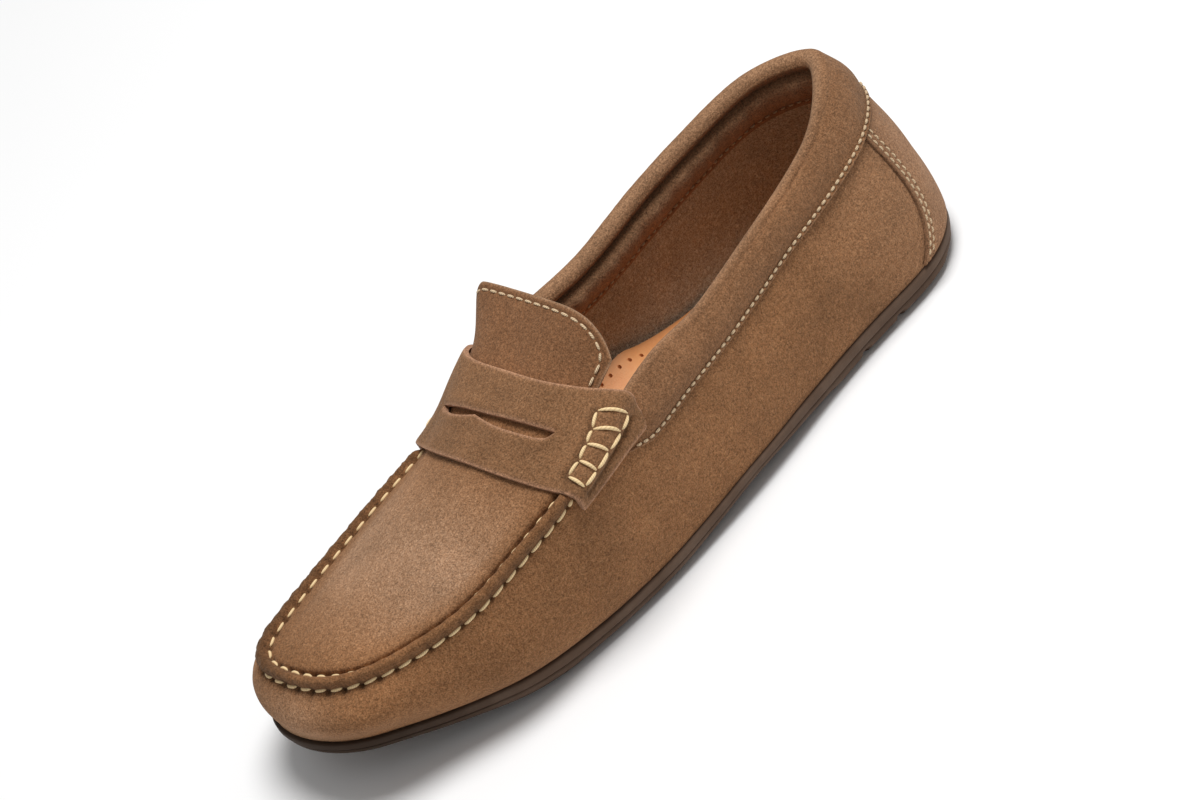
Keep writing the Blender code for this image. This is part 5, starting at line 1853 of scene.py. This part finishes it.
@dataclass
class Sewing:
    """All the stitched rows of the shoe."""

    seam: MoccasinSeam
    collar: Collar
    patch: HeelPatch
    strap: Strap
    tongue: Tongue
    inside_end: float = 142.0
    outside_end: float = 158.5
    patch_insets: tuple = (1.75, 4.05)
    tongue_inset: float = 2.3

    def seam_row(self, thread: Thread, skin: Skin, side: Side) -> Piece:
        """Stitches of the moccasin seam, on the wall or on the apron side of the ridge."""
        stitches = []
        count = int(self.seam.length / self.seam.pitch)
        outer = side is Side.OUTER
        style = WALL_STYLE if outer else APRON_STYLE
        for k in range(count + 1):
            ends = []
            for shift in (-style.cover / 2.0, style.cover / 2.0):
                run = min(max((k + shift) * self.seam.pitch, 0.3), self.seam.length - 0.3)
                u = float(self.seam.mark_at(run))
                out = LAST.outward(np.array([u]))[0]
                slant = -0.5 * shift
                if outer:
                    foot = self.seam.half + 0.2
                    point = self.seam.spot(u, float(self.seam.centre(u)) - foot + slant)
                    away = out * 0.75 + UPRIGHT * 0.65
                else:
                    far = float(self.seam.far(u))
                    foot = self.seam.half - 0.1 - 0.2 * far
                    point = self.seam.spot(u, float(self.seam.centre(u)) + foot + slant)
                    away = UPRIGHT - out * (0.3 + 0.4 * far)
                ends.append(skin.seat(point, away, 5.0))
            stitches.append(tuple(ends))
        name = "seam_thread_wall" if outer else "seam_thread_apron"
        return thread.row(name, stitches, style)

    def ladder_row(self, thread: Thread, skin: Skin) -> Piece:
        """Ladder of thick stitches on both end tabs of the strap."""
        stitches = []
        for side in Side:
            out = np.array([0.0, 0.7 if side is Side.OUTER else -0.7, 0.7])
            ends = [[skin.seat(point, out, 9.0) for point in rung] for rung in self.strap.ladder(side)]
            for (first, second), rung in zip(ends, self.strap.ladder(side)):
                stitches.append((first, second, skin.seat(rung.mean(axis=0), out, 9.0)[0]))
            for before, after in zip(ends[:-1], ends[1:]):
                for k in (0, 1):
                    stitches.extend(pairs([before[k], after[k]], LADDER_STYLE.cover))
        return thread.row("strap_thread", stitches, LADDER_STYLE)

    def collar_row(self, thread: Thread, skin: Skin, inside: bool) -> Piece:
        """Machine stitches in the collar's outer or inner trough."""
        marks = np.linspace(self.collar.marks[6], self.collar.marks[-7], 700)
        out = LAST.outward(marks)
        x = LAST.crest(marks)[:, 0]
        style = INSIDE_STYLE if inside else COLLAR_STYLE
        if inside:
            keep = x < self.inside_end
            level, depth = self.collar.inside_stitch
            line = LAST.wall(marks[keep], level) - out[keep] * depth
            away = -out[keep]
        else:
            keep = x < self.outside_end
            line = LAST.wall(marks[keep], self.collar.level(x[keep]) + 0.001) + out[keep] * 0.5
            away = out[keep]
        spaced = even(line, style.pitch)
        near = far_from(spaced[:, None], line[None]).argmin(axis=1)
        seats = [skin.seat(point, away[k] + UPRIGHT * 0.1, 3.0) for point, k in zip(spaced, near)]
        name = "collar_thread_inside" if inside else "collar_thread_outside"
        return thread.row(name, pairs(seats, style.cover), style)

    def patch_row(self, thread: Thread, skin: Skin) -> Piece:
        """Double rows of machine stitches along both front edges of the patch."""
        stitches = []
        levels = np.linspace(self.patch.low + 0.02, self.patch.high - 0.015, 120)
        for side in (1.0, -1.0):
            edge = self.patch.point(np.full(len(levels), side), levels)
            inner = self.patch.point(np.full(len(levels), side * 0.6), levels)
            toward = unit(inner - edge)
            out = LAST.outward(self.patch.middle + side * self.patch.reach(levels))
            for inset in self.patch_insets:
                spaced = even(edge + toward * inset, PATCH_STYLE.pitch)
                near = far_from(spaced[:, None], edge[None]).argmin(axis=1)
                seats = [skin.seat(point, out[k], 4.0) for point, k in zip(spaced, near)]
                stitches.extend(pairs(seats, PATCH_STYLE.cover))
        return thread.row("patch_thread", stitches, PATCH_STYLE)

    def tongue_row(self, thread: Thread, skin: Skin) -> Piece:
        """Machine stitches along the free edge of the tongue."""
        t = np.linspace(1.0, -0.97, 240)
        rim = self.tongue.point(t, np.ones(len(t)))
        left = self.tongue.point(np.full(60, 1.0), np.linspace(0.35, 1.0, 60))
        loop = even(np.concatenate([left[:-1], rim]), 0.5)
        along = unit(np.gradient(loop, axis=0))
        up = np.array([0.35, 0.0, 0.94])
        inward = unit(np.cross(up, along))
        centre = loop.mean(axis=0)
        if np.mean(np.sum(inward * (centre - loop), axis=1)) < 0.0:
            inward = -inward
        window = np.ones(15) / 15.0
        smooth = [np.convolve(inward[:, k], window, mode="same") for k in range(3)]
        smooth = unit(np.stack(smooth, axis=1))
        spaced = even(loop + smooth * self.tongue_inset, TONGUE_STYLE.pitch)
        seats = [skin.seat(point, up, 5.0) for point in spaced]
        return thread.row("tongue_thread", pairs(seats, TONGUE_STYLE.cover), TONGUE_STYLE)


class Stage:
    """Floor, light and camera."""

    eye = (0.629320, 1.197033, 0.995407)
    right = (-0.640281, 0.657251, -0.397570)
    up = (-0.667061, -0.219120, 0.712050)
    back = (0.380880, 0.721116, 0.578726)
    lens = 160.0
    sensor = 36.0
    aim = Vector((0.0, 0.0, 0.035))
    key_place = Vector((-0.30, 0.10, 1.45))
    key_size = 0.8
    key_power = 20.0
    room_strength = 0.36
    floor_size = 14.0
    floor_colors = ((0.90, 0.90, 0.90, 1.0), (0.93, 0.93, 0.93, 1.0))

    def floor(self) -> None:
        """Plain pale floor."""
        add = bpy.ops.mesh.primitive_plane_add
        ground = Bench.primitive("studio_floor", add, size=self.floor_size, location=(0.0, 0.0, 0.0))
        material, paint, shader = Paint.material("floor_pale")
        cloud = paint.noise(paint.place(), 3.0, 2.0, 0.5)
        paint.link(paint.mix(cloud, *self.floor_colors), shader.inputs["Base Color"])
        shader.inputs["Roughness"].default_value = 0.85
        shader.inputs["Specular IOR Level"].default_value = 0.1
        ground.data.materials.append(material)

    def light(self) -> None:
        """Soft overhead light and a white room."""
        data = bpy.data.lights.new("key_overhead", "AREA")
        data.shape = "DISK"
        data.size = self.key_size
        data.energy = self.key_power
        lamp = bpy.data.objects.new("key_overhead", data)
        lamp.location = self.key_place
        lamp.rotation_euler = (self.aim - self.key_place).to_track_quat("-Z", "Y").to_euler()
        bpy.context.scene.collection.objects.link(lamp)
        world = bpy.data.worlds.new("white_room")
        world.use_nodes = True
        back = world.node_tree.nodes["Background"]
        back.inputs["Color"].default_value = (1.0, 1.0, 1.0, 1.0)
        back.inputs["Strength"].default_value = self.room_strength
        bpy.context.scene.world = world
        view = bpy.context.scene.view_settings
        view.view_transform = "Standard"
        view.look = "None"
        view.exposure = 0.0
        view.gamma = 1.0

    def camera(self) -> None:
        """Camera at the photo's angle to the shoe, turned to frame the one shoe."""
        data = bpy.data.cameras.new("camera")
        data.lens = self.lens
        data.sensor_width = self.sensor
        data.clip_start = 0.05
        data.clip_end = 60.0
        camera = bpy.data.objects.new("camera", data)
        turn = Matrix((self.right, self.up, self.back)).transposed()
        camera.matrix_world = Matrix.Translation(self.eye) @ turn.to_4x4()
        bpy.context.scene.collection.objects.link(camera)
        bpy.context.scene.camera = camera


def main() -> None:
    """Build and dress every piece, then the stage."""
    palette = Palette()
    seam = MoccasinSeam()
    upper = Upper(seam)
    patch = HeelPatch()
    collar = Collar(patch.middle, patch.half * patch.narrow)
    strap = Strap()
    tongue = Tongue(upper)
    skin_upper = upper.build()
    skin_collar = collar.build()
    skin_patch = patch.build()
    skin_strap = strap.build()
    skin_tongue = tongue.build()
    settle(skin_upper, palette.suede(UPPER_SUEDE), "upper")
    settle(skin_collar, palette.suede(COLLAR_SUEDE), "collar")
    settle(skin_patch, palette.suede(PATCH_SUEDE), "heel_counter")
    settle(skin_strap, palette.suede(STRAP_SUEDE), "strap")
    settle(skin_tongue, palette.suede(TONGUE_SUEDE), "tongue")
    settle(Sock().build(), palette.leather(SOCK_LEATHER), "insole")
    settle(Outsole().build(), palette.rubber(SOLE_RUBBER), "outsole")
    settle(Lining().build(), palette.suede(LINING_SUEDE), "")
    sewing = Sewing(seam, collar, patch, strap, tongue)
    thread = Thread()
    cord = palette.cord(SEAM_CORD)
    machine = palette.cord(MACHINE_CORD)
    on_upper = Skin(skin_upper)
    settle(sewing.seam_row(thread, on_upper, Side.OUTER), cord, "")
    settle(sewing.seam_row(thread, on_upper, Side.INNER), cord, "")
    settle(sewing.ladder_row(thread, Skin(skin_strap)), cord, "")
    on_collar = Skin(skin_collar)
    settle(sewing.collar_row(thread, on_collar, False), machine, "")
    settle(sewing.collar_row(thread, on_collar, True), palette.cord(INSIDE_CORD), "")
    settle(sewing.patch_row(thread, Skin(skin_patch)), machine, "")
    settle(sewing.tongue_row(thread, Skin(skin_tongue)), machine, "")
    thread.clear()
    stage = Stage()
    stage.floor()
    stage.light()
    stage.camera()


if __name__ == "__main__":
    logging.basicConfig(level=logging.INFO, format="%(name)s %(message)s")
    main()
